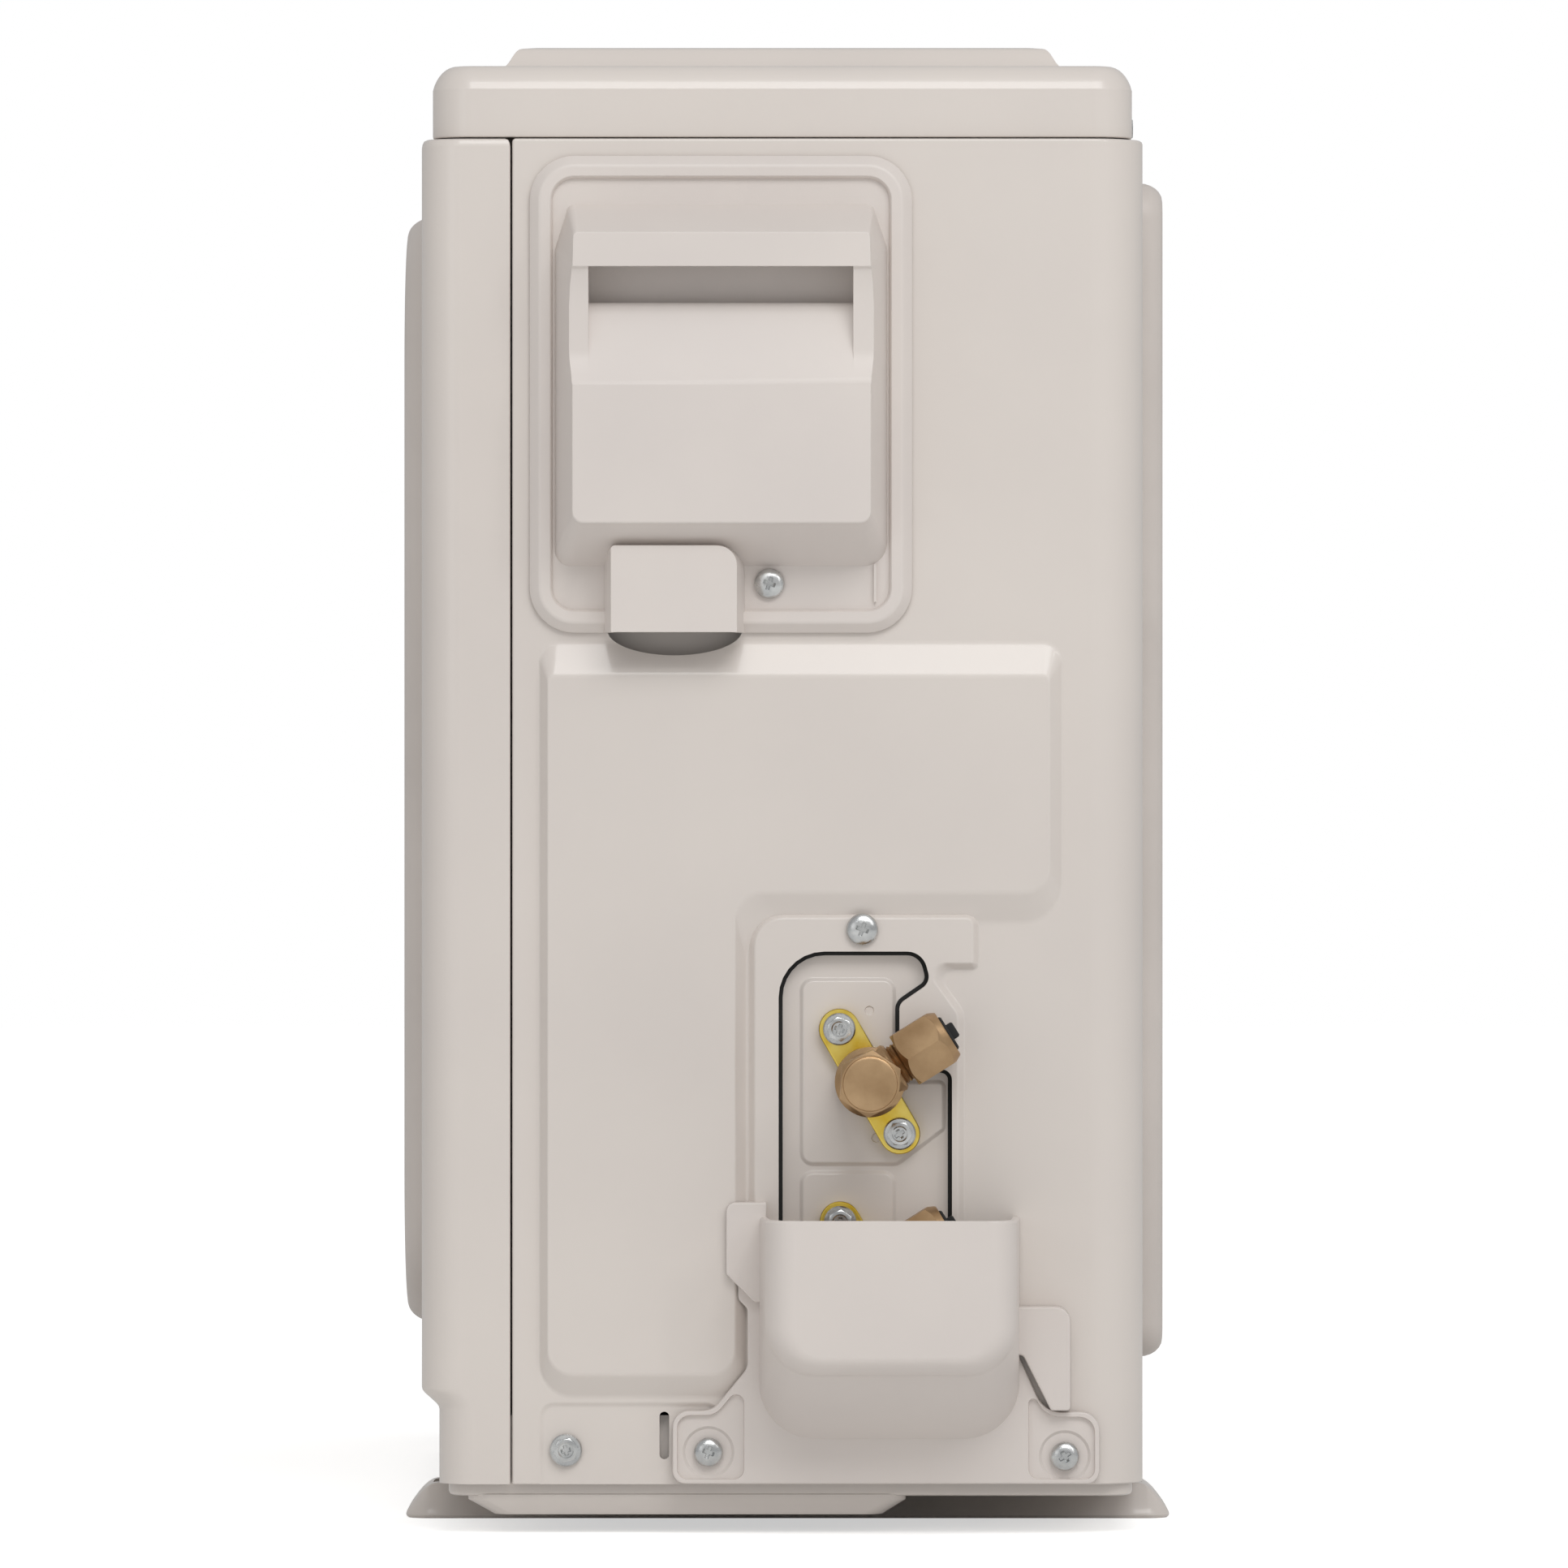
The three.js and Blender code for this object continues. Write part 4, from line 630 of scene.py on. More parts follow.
def front_sheet():
    rear = SEAM_Y - 0.35
    plan = lambda back: [(LEFT, FRONT + back, FRONT_BEND), (RIGHT, FRONT + back, FRONT_BEND),
                         (RIGHT, rear, 0.9),
                         (LEFT, rear, 0.9)]
    rows = toe_profile()
    outside = [(z, rounded(plan(back), 0, 8)) for z, back in rows]
    top = [(PANEL_TOP - 3.2, 0.0), (PANEL_TOP - 1.6, 0.25), (PANEL_TOP - 0.5, 0.8), (PANEL_TOP, 1.9)]
    outside += [(z, rounded(plan(0), inset, 8)) for z, inset in top]
    inside = [(z - (4 if z == PANEL_BOTTOM else 0), rounded(plan(back), SHEET, 8)) for z, back in rows]
    inside.append((PANEL_TOP - SHEET, rounded(plan(0), SHEET, 8)))
    fold = FRONT_BEND + 1
    open_back = solid(block(LEFT + fold, rear - 4, PANEL_BOTTOM - 5, RIGHT - fold, rear + 1,
                            PANEL_TOP - SHEET))
    open_top = solid(block(LEFT + 14, FRONT + 14, PANEL_TOP - 4, RIGHT - 14, rear + 1, PANEL_TOP + 2))
    lip = 10.0
    bell_out = [(MOUTH_RADIUS + lip + 3, FRONT + 0.6)]
    bell_out += [(MOUTH_RADIUS + SHEET + lip * (1 - math.sin(a)), FRONT + SHEET + lip * (1 - math.cos(a)))
                 for a in (math.radians(10 * i) for i in range(1, 10))]
    bell_out.append((MOUTH_RADIUS + SHEET, FRONT + MOUTH_DEPTH))
    bell_in = [(MOUTH_RADIUS + lip, FRONT - 2), (MOUTH_RADIUS + lip, FRONT)]
    bell_in += [(MOUTH_RADIUS + lip * (1 - math.sin(a)), FRONT + lip * (1 - math.cos(a)))
                for a in (math.radians(10 * i) for i in range(1, 10))]
    bell_in.append((MOUTH_RADIUS, FRONT + MOUTH_DEPTH + 2))
    turned_bell = lambda profile: turned_solid("y", FAN_X, FAN_Z, profile, 128)
    return shaped(solid(loft("z", outside)), ("cut", solid(loft("z", inside))), ("cut", open_back),
                  ("cut", open_top), ("join", turned_bell(bell_out)), ("cut", turned_bell(bell_in)))


piece("front_sheet", front_sheet(), painted_steel, replaces=["front_panel"])

# %% [markdown]
# ## Lid
# The lid is a shallow drawn pan turned upside down: a straight skirt, a rolled shoulder, a flat
# ledge and a raised middle that sheds rain. One plan outline moves inwards as the profile climbs.

# %% Lid
lid_low, lid_high = box_mm("top_cover")
LID_BOTTOM, LID_TOP = lid_low[2], lid_high[2]
LID_INSET = 4.0
SKIRT_TOP = 536.8


def lid_profile():
    """Pairs of height and distance inwards from the skirt."""
    shoulder = 8.8
    rise = 545.6 - SKIRT_TOP
    first = 22
    base = 1 - math.cos(math.radians(first))
    points = [(LID_BOTTOM, 0.5), (LID_BOTTOM + 0.3, 0.12), (LID_BOTTOM + 0.8, 0), (SKIRT_TOP - 0.3, 0),
              (SKIRT_TOP, 0.08)]
    for i in range(1, 9):
        a = math.radians(first + (90 - first) * i / 8)
        points.append((SKIRT_TOP + rise * (math.sin(a) - math.sin(math.radians(first)))
                       / (1 - math.sin(math.radians(first))),
                       shoulder * (1 - math.cos(a) - base) / (1 - base)))
    points.append((545.9, 24))
    points += [(545.9 + 7.6 * eased(i / 8, 0.45), 25 + 8 * i / 8) for i in range(1, 9)]
    points += [(554.1, 38), (554.6, 52), (LID_TOP, 90)]
    return points


def lid():
    plan = rectangle(LEFT + LID_INSET, FRONT + LID_INSET, RIGHT - LID_INSET, REAR - LID_INSET, 15)
    skin = lambda drop, inset: solid(loft("z", [(z - drop, rounded(plan, side + inset, 12))
                                                for z, side in lid_profile()]))
    screw_x = [centre_of(name)[0] for name in ("lid_screw_left", "lid_screw_right")]
    screw_z = centre_of("lid_screw_left")[2]
    holes = [turned("y", x, screw_z, [(2.5, REAR - 14), (2.5, REAR + 2)], 20) for x in screw_x]
    return shaped(skin(0, 0), ("cut", skin(SHEET, SHEET)), ("cut", solid(*holes)))


piece("lid", lid(), painted_steel, "top_cover", ["top_cover"])

# %% [markdown]
# ## Base pan and feet
# The pan catches condensed water: a tray with an upright rim that stands inside the side sheets,
# drawn down a little along both ends. Its skirt shows below the service sheet. The feet are
# pressed channels with flared ends and slots for the anchor bolts.

# %% Base pan and feet
pan_low, pan_high = box_mm("base_pan")
PAN_LEFT, PAN_RIGHT = pan_low[0], pan_high[0]
PAN_FRONT, PAN_REAR = pan_low[1] - MID_Y, pan_high[1] - MID_Y
PAN_RIM, PAN_FLOOR, DRAWN_BOTTOM = pan_high[2], 14.0, pan_low[2]
DRAWN = {"front": -117, "rear": 46, "width": 40}


def pan_end(x0, x1):
    """The end of the floor that is drawn down."""
    upper = rectangle(x0, DRAWN["front"], x1, DRAWN["rear"], 8)
    lower = rectangle(x0 + 1.2, DRAWN["front"] + 9, x1 - 3, DRAWN["rear"] - 8, 8)
    return solid(loft("z", [(DRAWN_BOTTOM, rounded(lower, 0.5)), (DRAWN_BOTTOM + 0.4, rounded(lower)),
                            (DRAWN_BOTTOM + 5.4, rounded(upper, 0.2)), (PAN_FLOOR + 0.6, rounded(upper))]))


def base_pan():
    plan = rectangle(PAN_LEFT, PAN_FRONT, PAN_RIGHT, PAN_REAR, 10)
    tray = solid(loft("z", [(PAN_FLOOR, rounded(plan, 1.6)), (PAN_FLOOR + 0.5, rounded(plan, 0.5)),
                            (PAN_FLOOR + 1.5, rounded(plan)), (PAN_RIM, rounded(plan))]))
    inside = solid(prism("z", rounded(plan, SHEET), PAN_FLOOR + SHEET, PAN_RIM + 2))
    bead = lambda y: rectangle(-330, y - 9, 270, y + 9, 8)
    beads = [solid(loft("z", step_sections(rounded(bead(y)), rounded(bead(y), 4), PAN_FLOOR + SHEET - 0.02,
                                           2.4)))
             for y in (-70, 70)]
    drain = solid(prism("z", circle(FAN_X, 60, 9, 32), PAN_FLOOR - 3, PAN_FLOOR + 3))
    return shaped(tray, ("cut", inside), ("join", pan_end(PAN_RIGHT - DRAWN["width"], PAN_RIGHT)),
                  ("join", pan_end(PAN_LEFT, PAN_LEFT + DRAWN["width"])),
                  *[("join", one) for one in beads], ("cut", drain))


def foot(node):
    """A hat-section rail with flared ends and two slots."""
    low, high = box_mm(node)
    x0, x1, top = low[0], high[0], high[2]
    y0, y1 = low[1] - MID_Y, high[1] - MID_Y
    plan = rectangle(x0, y0, x1, y1, 9)
    thick, flange = 1.6, 8.0
    outside = [(height, rounded(plan, inset)) for height, inset in (
        (0.0, 1.0), (0.5, 0.3), (1.2, 0.0), (2.4, 0.3), (4.4, 1.5), (7.0, 3.4), (9.4, 5.4), (11.2, 7.4),
        (12.3, 9.2), (top - 0.2, 10.8), (top, 12.6))]
    inside = [(-1.0, rounded(plan, 3.0)), (thick, rounded(plan, 3.2)),
              (top - thick - 2, rounded(plan, flange + 2)),
              (top - thick, rounded(plan, flange + 5))]
    middle_x = (x0 + x1) / 2
    slots = [prism("z", rounded(rectangle(middle_x - 12, y - 4.5, middle_x + 12, y + 4.5, 4.4)), 4, top + 3)
             for y in (-128.5, 132.5)]
    return shaped(solid(loft("z", outside)), ("cut", solid(loft("z", inside))), ("cut", solid(*slots)))


piece("drip_pan", base_pan(), painted_steel, replaces=["base_pan"])
piece("foot_rail_left", foot("foot_left"), painted_steel, replaces=["foot_left"])
piece("foot_rail_right", foot("foot_right"), painted_steel, replaces=["foot_right"])

# %% [markdown]
# ## Wiring cover
# A moulded shell screwed over the terminals. A raised rim runs round it, a box stands out from its
# middle to make a carrying handle, and fingers reach into the scoop below the bar. The lower edge
# has a hood that lets the cables out. The box is a loft with a rounded edge, and the scoop is cut by
# a loft whose lower edge climbs as it goes deeper.

# %% Wiring cover
cover_low, cover_high = box_mm("terminal_cover")
COVER = {"front": cover_low[1] - MID_Y, "rear": cover_high[1] - MID_Y, "bottom": cover_low[2],
         "top": cover_high[2]}
COVER_SEAT, COVER_FACE = cover_low[0], cover_high[0]
WALL = 2.2                                      # moulded wall
HOOD_FACE = RIGHT + 22
SCOOP_DEPTH = COVER_FACE - (RIGHT + 7)
BOX_FOOT = [(-84.9, 358.2, 6), (39.3, 358.2, 9), (39.3, 477, 3), (33.4, 494.2, 3), (-79.4, 494.2, 3),
            (-84.9, 477, 3)]
BOX_FACE = [(-77.2, 375.4, 4), (32.4, 375.4, 4), (32.4, 470, 1), (32.2, 481.5, 1.5), (-77, 481.5, 1.5),
            (-77.2, 470, 1)]
SCOOP = {"front": -71.6, "rear": 26.2, "low": 425.6, "high": 469.4}
# The ramp under the fingers, as (depth behind the face, height): it leans back, rolls over its edge
# and drops behind it. Above, the space opens upwards behind the carrying bar.
RAMP = [(0, 425.6), (2.2, 430), (5.0, 436), (7.8, 442), (10.4, 448), (12.2, 452), (13.6, 454.6), (14.8, 456),
        (16.0, 456.4), (17.2, 455.8), (18.0, 453.6), (18.6, 446), (SCOOP_DEPTH, 444)]
BEHIND_BAR = [(SCOOP_DEPTH, 486), (12, 480.4), (9.4, 478), (8.4, 471), (7.4, 469.4)]
PILLAR_SINK = [(0, 425.6), (2.2, 430), (4.6, 435.2), (5.2, 439), (5.2, 455), (3.6, 463), (1.4, 468.4),
               (0, 469.4)]
HOOD = [(-66.5, 325, 0), (-13.6, 325, 0), (-13.6, 369.7, 13), (-66.5, 369.7, 7)]


def edge_round(sections_from, sections_to, start, end, radius, steps=5):
    """Sections of a wall that leans from one outline to another and ends in a rounded edge."""
    sections = [(start, sections_from)]
    knee = between(sections_from, sections_to, 0.93)
    sections.append((end - radius, knee))
    sections += [(end - radius * (1 - math.sin(a)), between(knee, sections_to, 1 - math.cos(a)))
                 for a in (math.pi / 2 * i / steps for i in range(1, steps + 1))]
    return sections


def cover_box(inset, start, end):
    return solid(loft("x", edge_round(rounded(BOX_FOOT, inset), rounded(BOX_FACE, inset), start, end, 1.6)))


def scoop(grow):
    """The finger recess between the pillars, behind the carrying bar."""
    profile = [(COVER_FACE + 3, SCOOP["low"] - grow)]
    profile += [(COVER_FACE - depth - grow * (depth == SCOOP_DEPTH), z - grow) for depth, z in RAMP]
    profile += [(COVER_FACE - depth - (grow if depth == SCOOP_DEPTH else -grow), z + grow)
                for depth, z in BEHIND_BAR[:3]]
    profile += [(COVER_FACE - depth + grow, z) for depth, z in BEHIND_BAR[3:]]
    profile += [(COVER_FACE + 3, SCOOP["high"])]
    front, rear = SCOOP["front"] - grow, SCOOP["rear"] + grow
    return solid(prism("y", profile, front, rear))


def pillar_sink(grow):
    """The band across the whole face where ramp and pillars stand behind the bar."""
    profile = [(COVER_FACE - depth - grow, z) for depth, z in PILLAR_SINK]
    profile += [(COVER_FACE + 3, SCOOP["high"] + grow), (COVER_FACE + 3, SCOOP["low"] - grow)]
    return solid(prism("y", profile, BOX_FOOT[0][0] - 4, BOX_FOOT[1][0] + 4))


def cover_rim():
    """The raised border, rounded outside and with a soft inner edge."""
    border = rectangle(COVER["front"], COVER["bottom"], COVER["rear"], COVER["top"], 16.6)
    at = lambda rise, inset: (COVER_SEAT + rise, rounded(border, inset, 10))
    outer = solid(loft("x", [at(0, 0.4), at(0.4, 0), at(1.4, 0), at(1.9, 0.35), at(4.6, 3.0), at(5.0, 3.7),
                             at(5.2, 4.6)]))
    gap = solid(loft("x", [at(2.6, 8.6), at(4.4, 8.2), at(5.0, 7.8), at(5.4, 7.2), at(9, 7.2)]))
    return outer, gap


def wiring_cover():
    rim, gap = cover_rim()
    hood_face = [(u, v, max(r - 2.5, 0)) for u, v, r in HOOD]
    hood = lambda inset, start, end: solid(loft("x", edge_round(
        rounded(HOOD, inset), rounded(hood_face, inset + 3.2), start, end, 4.0)))
    trim = solid(block(COVER_SEAT - 3, -80, 300, HOOD_FACE + 5, 0, COVER["bottom"]))
    hollow = shaped(cover_box(WALL, COVER_SEAT - 2, COVER_FACE - WALL), ("cut", scoop(WALL)),
                    ("cut", pillar_sink(WALL)))
    y, z = centre_of("terminal_cover_screw")[1:]
    notch = turned_solid("x", y, z, [(6.7, COVER_SEAT + 3), (7.4, COVER_SEAT + 31)], 40)
    bore = turned_solid("x", y, z, [(2.6, COVER_SEAT - 2), (2.6, COVER_SEAT + 8)], 24)
    rib = solid(block(COVER_SEAT + 2, 33.9, 346, COVER_SEAT + 4.2, 34.8, 360))
    return shaped(rim, ("cut", gap), ("join", cover_box(0, COVER_SEAT + 0.7, COVER_FACE)),
                  ("join", hood(0, COVER_SEAT + 0.6, HOOD_FACE)), ("join", rib), ("cut", trim),
                  ("cut", hollow), ("cut", pillar_sink(0)), ("cut", scoop(0)),
                  ("cut", hood(WALL, COVER_SEAT - 2, HOOD_FACE - WALL)), ("cut", notch), ("cut", bore))


piece("wiring_cover", wiring_cover(), cover_plastic, "terminal_cover", ["terminal_cover"], "cover_plastic")

# %% Tab behind the cable hole
# A painted tab stands a little way behind the hole, so that cables turn upwards into the hood.
TAB_DEPTH = 9.0
piece("cable_hole_tab", solid(loft("x", [
    (RIGHT - TAB_DEPTH - SHEET, rounded(rectangle(-72, 316, -8, 350, 3))),
    (RIGHT - TAB_DEPTH, rounded(rectangle(-72, 316, -8, 350, 3)))])), painted_steel)

# %% [markdown]
# ## Valve cover
# An open-topped cup collects the water that drips from the lower valve. Its face rolls round into
# the sides, its underside slopes back to a flat flange, and the flange has two lipped ears for
# screws. The flange follows the step of the sheet behind it, so the cover is cut where the raised
# field passes.

# %% Valve cover
CUP_FACE = box_mm("valve_cover")[1][0]
CUP_TOP = 118.2
FLANGE = [(-40.8, 19, 5), (117.6, 19, 5), (117.6, 45.8, 7), (97, 45.8, 10), (88, 66, 6), (88, CUP_TOP, 2),
          (-20.9, CUP_TOP, 4), (-20.9, 91.9, 3), (-13, 84, 3), (-13, 62, 6), (-26, 46.2, 8), (-40.8, 46.2, 6)]
CUP_FOOT = [(-8.8, 33, 21), (88, 33, 21), (88, CUP_TOP, 1.2), (-8.8, CUP_TOP, 1.2)]
CUP_KNEE = [(-6.8, 60.5, 19), (86.4, 60.5, 19), (86.4, CUP_TOP, 1.2), (-6.8, CUP_TOP, 1.2)]
CUP_FRONT = [(4.6, 68.4, 10), (75.8, 68.4, 10), (75.8, CUP_TOP, 1.2), (4.6, CUP_TOP, 1.2)]
CUP_ROUND = 14.0
# Raised tabs beside the cup; each has its lower corner cut off where the flange passes.
EARS = [[(84, 67, 0), (89, 67, 2), (99.5, 46.4, 1.5), (106.7, 46.4, 1.5), (106.7, 84.9, 5.5), (84, 84.9, 2)],
        [(-20.9, 97, 2), (-10.5, 86.5, 2), (-2, 86.5, 0), (-2, 123.6, 2), (-20.9, 123.6, 3.5)]]
EAR_FACE = RIGHT + 9


def cup(inset, start, end, top=0.0):
    """The cup from its foot through the rolled side to its face."""
    lifted = lambda corners: [(u, v + (top if v == CUP_TOP else 0), r) for u, v, r in corners]
    foot_line, knee, front = (rounded(lifted(c), inset, 10) for c in (CUP_FOOT, CUP_KNEE, CUP_FRONT))
    sections = [(start, foot_line), (end - CUP_ROUND, knee)]
    sections += [(end - CUP_ROUND * (1 - math.sin(a)), between(knee, front, 1 - math.cos(a)))
                 for a in (math.pi / 2 * i / 10 for i in range(1, 11))]
    return solid(loft("x", sections))


def valve_cover():
    seat = box_mm("valve_cover")[0][0]
    plate = solid(loft("x", [(seat, rounded(FLANGE, 0.3)), (seat + 0.4, rounded(FLANGE)),
                             (seat + 3.4, rounded(FLANGE)), (seat + 4.0, rounded(FLANGE, 0.3)),
                             (seat + 4.3, rounded(FLANGE, 0.9))]))
    sunk = [solid(loft("x", [(seat + 2.6, rounded(corners, 0.4)), (seat + 5, rounded(corners))]))
            for corners in (
        [(-39.2, 20.6, 4), (-14, 20.6, 4), (-14, 58, 4), (-25, 44.8, 7), (-39.2, 44.8, 5)],
        [(91, 20.6, 4), (116, 20.6, 4), (116, 44.2, 6), (98, 44.2, 9), (91, 56, 4)])]
    dishes = [turned_solid("x", y, z, [(8.6, seat + 1.7), (9.8, seat + 2.75)], 48)
              for y, z in (centre_of(name)[1:] for name in VALVE_COVER_SCREWS)]
    bores = [turned("x", *centre_of(name)[1:], [(2.6, seat - 1), (2.6, seat + 6)], 24)
             for name in VALVE_COVER_SCREWS]
    ears = [solid(loft("x", [(seat, rounded(ear)), (EAR_FACE - 1, rounded(ear)),
                             (EAR_FACE - 0.3, rounded(ear, 0.3)),
                             (EAR_FACE, rounded(ear, 1.0))])) for ear in EARS]
    clear = step_sections(rounded(L_FOOT, -0.5), rounded(L_TOP, -0.5), RIGHT + 0.5, RAISE, bend=0.2)
    return shaped(plate, *[("cut", one) for one in sunk], *[("cut", one) for one in dishes],
                  ("join", cup(0, seat + 0.5, CUP_FACE)), *[("join", ear) for ear in ears],
                  ("cut", cup(WALL, seat - 1, CUP_FACE - WALL, 20)),
                  ("cut", with_root("x", clear, 3)), ("cut", solid(*bores)))


VALVE_COVER_SCREWS = ["valve_cover_screw_front", "valve_cover_screw_rear"]
piece("drip_cup_cover", valve_cover(), cover_plastic, "valve_cover", ["valve_cover"], "cover_plastic")

# %% [markdown]
# ## Valve bracket and service valves
# A pressed plate just behind the opening carries both valves. Each valve is a brass forging with a
# passivated flange, held by two screws; its hexagon cap covers the stem, and the flare nut on the
# inclined arm holds the pipe. The same function makes both, because they differ only in place and
# in the service port of the lower one.

# %% Valve bracket
bracket_low, bracket_high = box_mm("valve_bracket")
BRACKET_FACE = bracket_high[0]
LIQUID = centre_of("liquid_valve_cap")[1:]
GAS = centre_of("gas_valve_cap")[1:]
PLATE_SINK = 1.2                                 # the flat of the plate stands behind the pressing
PRESSING = [(6, 136.3, 5.4), (43, 136.3, 5), (61, 149.9, 3), (61, 169, 3), (45.6, 169, 2), (42.6, 172, 2),
            (42.6, 207, 5.4), (6, 207, 5.4)]    # raised seat of the upper valve
PUNCH_MARKS = [(32.3, 194.4), (34.8, 147.2)]


def bracket():
    back, flat = BRACKET_FACE - 2.4, BRACKET_FACE - PLATE_SINK
    low, high = (bracket_low[1] - MID_Y, bracket_low[2]), (bracket_high[1] - MID_Y, bracket_high[2])
    outline = rectangle(*low, *high, 6)
    plate = solid(loft("x", [(back, rounded(outline)), (flat, rounded(outline))]))
    lower = [(u, v - 71.5, r) for u, v, r in PRESSING]
    seats = [with_root("x", step_sections(rounded(one), rounded(one, 2.2), flat - 0.02, PLATE_SINK, 0.35),
                       0.6)
             for one in (PRESSING, lower)]
    folds = [solid(block(bracket_low[0], low[0] + 4, z, flat - 0.5, high[0] - 4, z + 2))
             for z in (low[1], high[1] - 2)]
    holes = [turned("x", *centre, [(9, BRACKET_FACE - 40), (9, BRACKET_FACE + 2)], 32)
             for centre in (LIQUID, GAS)]
    marks = [turned("x", y, z, [(1.5, BRACKET_FACE - 0.5), (2.1, BRACKET_FACE + 0.5)], 20)
             for y, z in PUNCH_MARKS]
    return shaped(plate, *[("join", one) for one in seats + folds], ("cut", solid(*holes)),
                  ("cut", solid(*marks)))


piece("valve_bracket_plate", bracket(), painted_steel, replaces=["valve_bracket"])

# %% [markdown]
# ## Dark line round the valve opening
# On the real unit a thin gap between the plate and the side sheet shows as a dark line of shade. That
# shade is painted here as a black strip that lies on the plate just inside the edge of the opening,
# because that leaves the plate whole. The strip is painted shade, a stand-in: no foam is known to be there.

# %% Painted shade strip round the valve opening
STRIP_WIDTH = 1.5                                # drawn as wide as the gap


# Draws the painted shade of the gap: a black ring just inside the edge of the opening.
def painted_gap_shade():
    level = BRACKET_FACE - PLATE_SINK
    ring = solid(prism("x", rounded(VALVE_OPENING), level - 0.3, level + 0.5))
    inside = solid(prism("x", rounded(VALVE_OPENING, STRIP_WIDTH), level - 1, level + 1))
    return shaped(ring, ("cut", inside))


# The black rubber finish here is painted shade of the gap between plate and sheet, not a rubber part.
piece("opening_foam_strip", painted_gap_shade(), black_rubber, slot="rubber")

# %% Service valves
ARM_ANGLE = 32.0                                 # flare connection, above horizontal
FLANGE_ANGLE = math.radians(-60)
FLANGE_REACH = 22.4
ARM_X = RIGHT + 15
STEM_SEAT = RIGHT + 24
CAP_TOP = box_mm("liquid_valve_cap")[1][0]
NUT_START, NUT_END = 15.0, 34.0


def arm_turn(centre, angle=ARM_ANGLE):
    """Places something built up the Z axis along a valve's inclined arm."""
    return Matrix.Translation((ARM_X, *centre)) @ Matrix.Rotation(math.radians(angle - 90), 4, "X")


def on_arm(centre, profile, sides=40, angle=ARM_ANGLE, turn=0.0):
    return solid(turned("z", 0, 0, profile, sides, turn), turn=arm_turn(centre, angle))


def threads(radius, depth, start, end, pitch=1.4):
    """A turned profile with V grooves, so that the thread shows as rings."""
    count = int((end - start) / pitch)
    profile = []
    for i in range(count):
        low = start + i * pitch
        profile += [(radius - depth, low), (radius, low + pitch / 2)]
    return profile + [(radius - depth, start + count * pitch)]


def flange_outline(centre, width=7.6, steps=14):
    """A stadium round the two flange screws."""
    along = (math.cos(FLANGE_ANGLE), math.sin(FLANGE_ANGLE))
    points = []
    for side in (1, -1):
        y, z = (centre[i] + side * FLANGE_REACH * along[i] for i in (0, 1))
        first = FLANGE_ANGLE - math.pi / 2 + (0 if side == 1 else math.pi)
        points += [(y + width * math.cos(first + math.pi * k / steps),
                    z + width * math.sin(first + math.pi * k / steps)) for k in range(steps + 1)]
    return points


def valve_flange(centre):
    seat = BRACKET_FACE + 0.3
    line = lambda width: flange_outline(centre, width)
    return solid(loft("x", [(seat, line(7.3)), (seat + 0.3, line(7.6)), (seat + 3.2, line(7.6)),
                            (seat + 3.6, line(7.3)), (seat + 3.7, line(6.9))]))


def valve_barrel(centre, service_port):
    y, z = centre
    barrel = turned_solid("x", y, z, [(6, BRACKET_FACE - 22), (6, BRACKET_FACE - 1),
                                      (12.5, BRACKET_FACE + 3.8),
                                      (12.9, BRACKET_FACE + 4.6), (12.9, STEM_SEAT - 6),
                                      (11.2, STEM_SEAT - 4.6),
                                      (11.2, STEM_SEAT - 1.2), (10.4, STEM_SEAT - 0.1)], 48)
    arm = on_arm(centre, [(9.6, 0), (9.6, NUT_START - 4.6), (8.8, NUT_START - 3.6),
                          *threads(7.9, 0.6, NUT_START - 3.4, NUT_END - 6)], 40)
    steps = [("join", arm)]
    if service_port:
        steps.append(("join", on_arm(centre, [(6.4, 0), (6.4, 9), *threads(5.6, 0.5, 9.4, 17)], 32, 180)))
    return shaped(barrel, *steps)


def hexagon_cut(centre_u, centre_v, across, start, end, chamfer, corner_angle, axis="x"):
    """A hexagon whose corners are turned off at both ends, as on a bar-stock nut."""
    corner = across / math.sqrt(3)
    hexagon = solid(prism(axis, circle(centre_u, centre_v, corner, 6, corner_angle), start, end))
    drop = (corner - across / 2) * 0.62
    cone = turned_solid(axis, centre_u, centre_v, [
        (across / 2 - 0.2, start), (corner + 0.1, start + drop + chamfer),
        (corner + 0.1, end - drop - chamfer), (across / 2 - 0.2, end)], 64)
    return shaped(hexagon, ("keep", cone))


def valve_cap(centre):
    y, z = centre
    low = STEM_SEAT + 0.4
    body = hexagon_cut(y, z, 21.6, low, CAP_TOP - 0.9, 0.4, math.radians(26))
    face = turned_solid("x", y, z, [(9.6, CAP_TOP - 3), (10.1, CAP_TOP - 0.9), (9.9, CAP_TOP - 0.3),
                                    (9.4, CAP_TOP - 0.05), (8.3, CAP_TOP), (7.4, CAP_TOP - 0.25)], 56)
    bore = turned_solid("x", y, z, [(4.4, low - 2), (4.4, STEM_SEAT + 12)], 24)
    return shaped(body, ("join", face), ("cut", bore))


def flare_nut(centre):
    turn = arm_turn(centre)
    corner = 12.0
    hexagon = solid(prism("z", circle(0, 0, corner, 6, 0), NUT_START, NUT_END), turn=turn)
    cone = solid(turned("z", 0, 0, [(10.2, NUT_START), (12.1, NUT_START + 1.6), (12.1, NUT_END - 4.2),
                                    (10.3, NUT_END - 2.4), (9.3, NUT_END - 0.4), (8.9, NUT_END)], 64),
                 turn=turn)
    bore = solid(turned("z", 0, 0, [(8.2, NUT_START - 2), (8.2, NUT_END + 2)], 32), turn=turn)
    return shaped(hexagon, ("keep", cone), ("cut", bore))


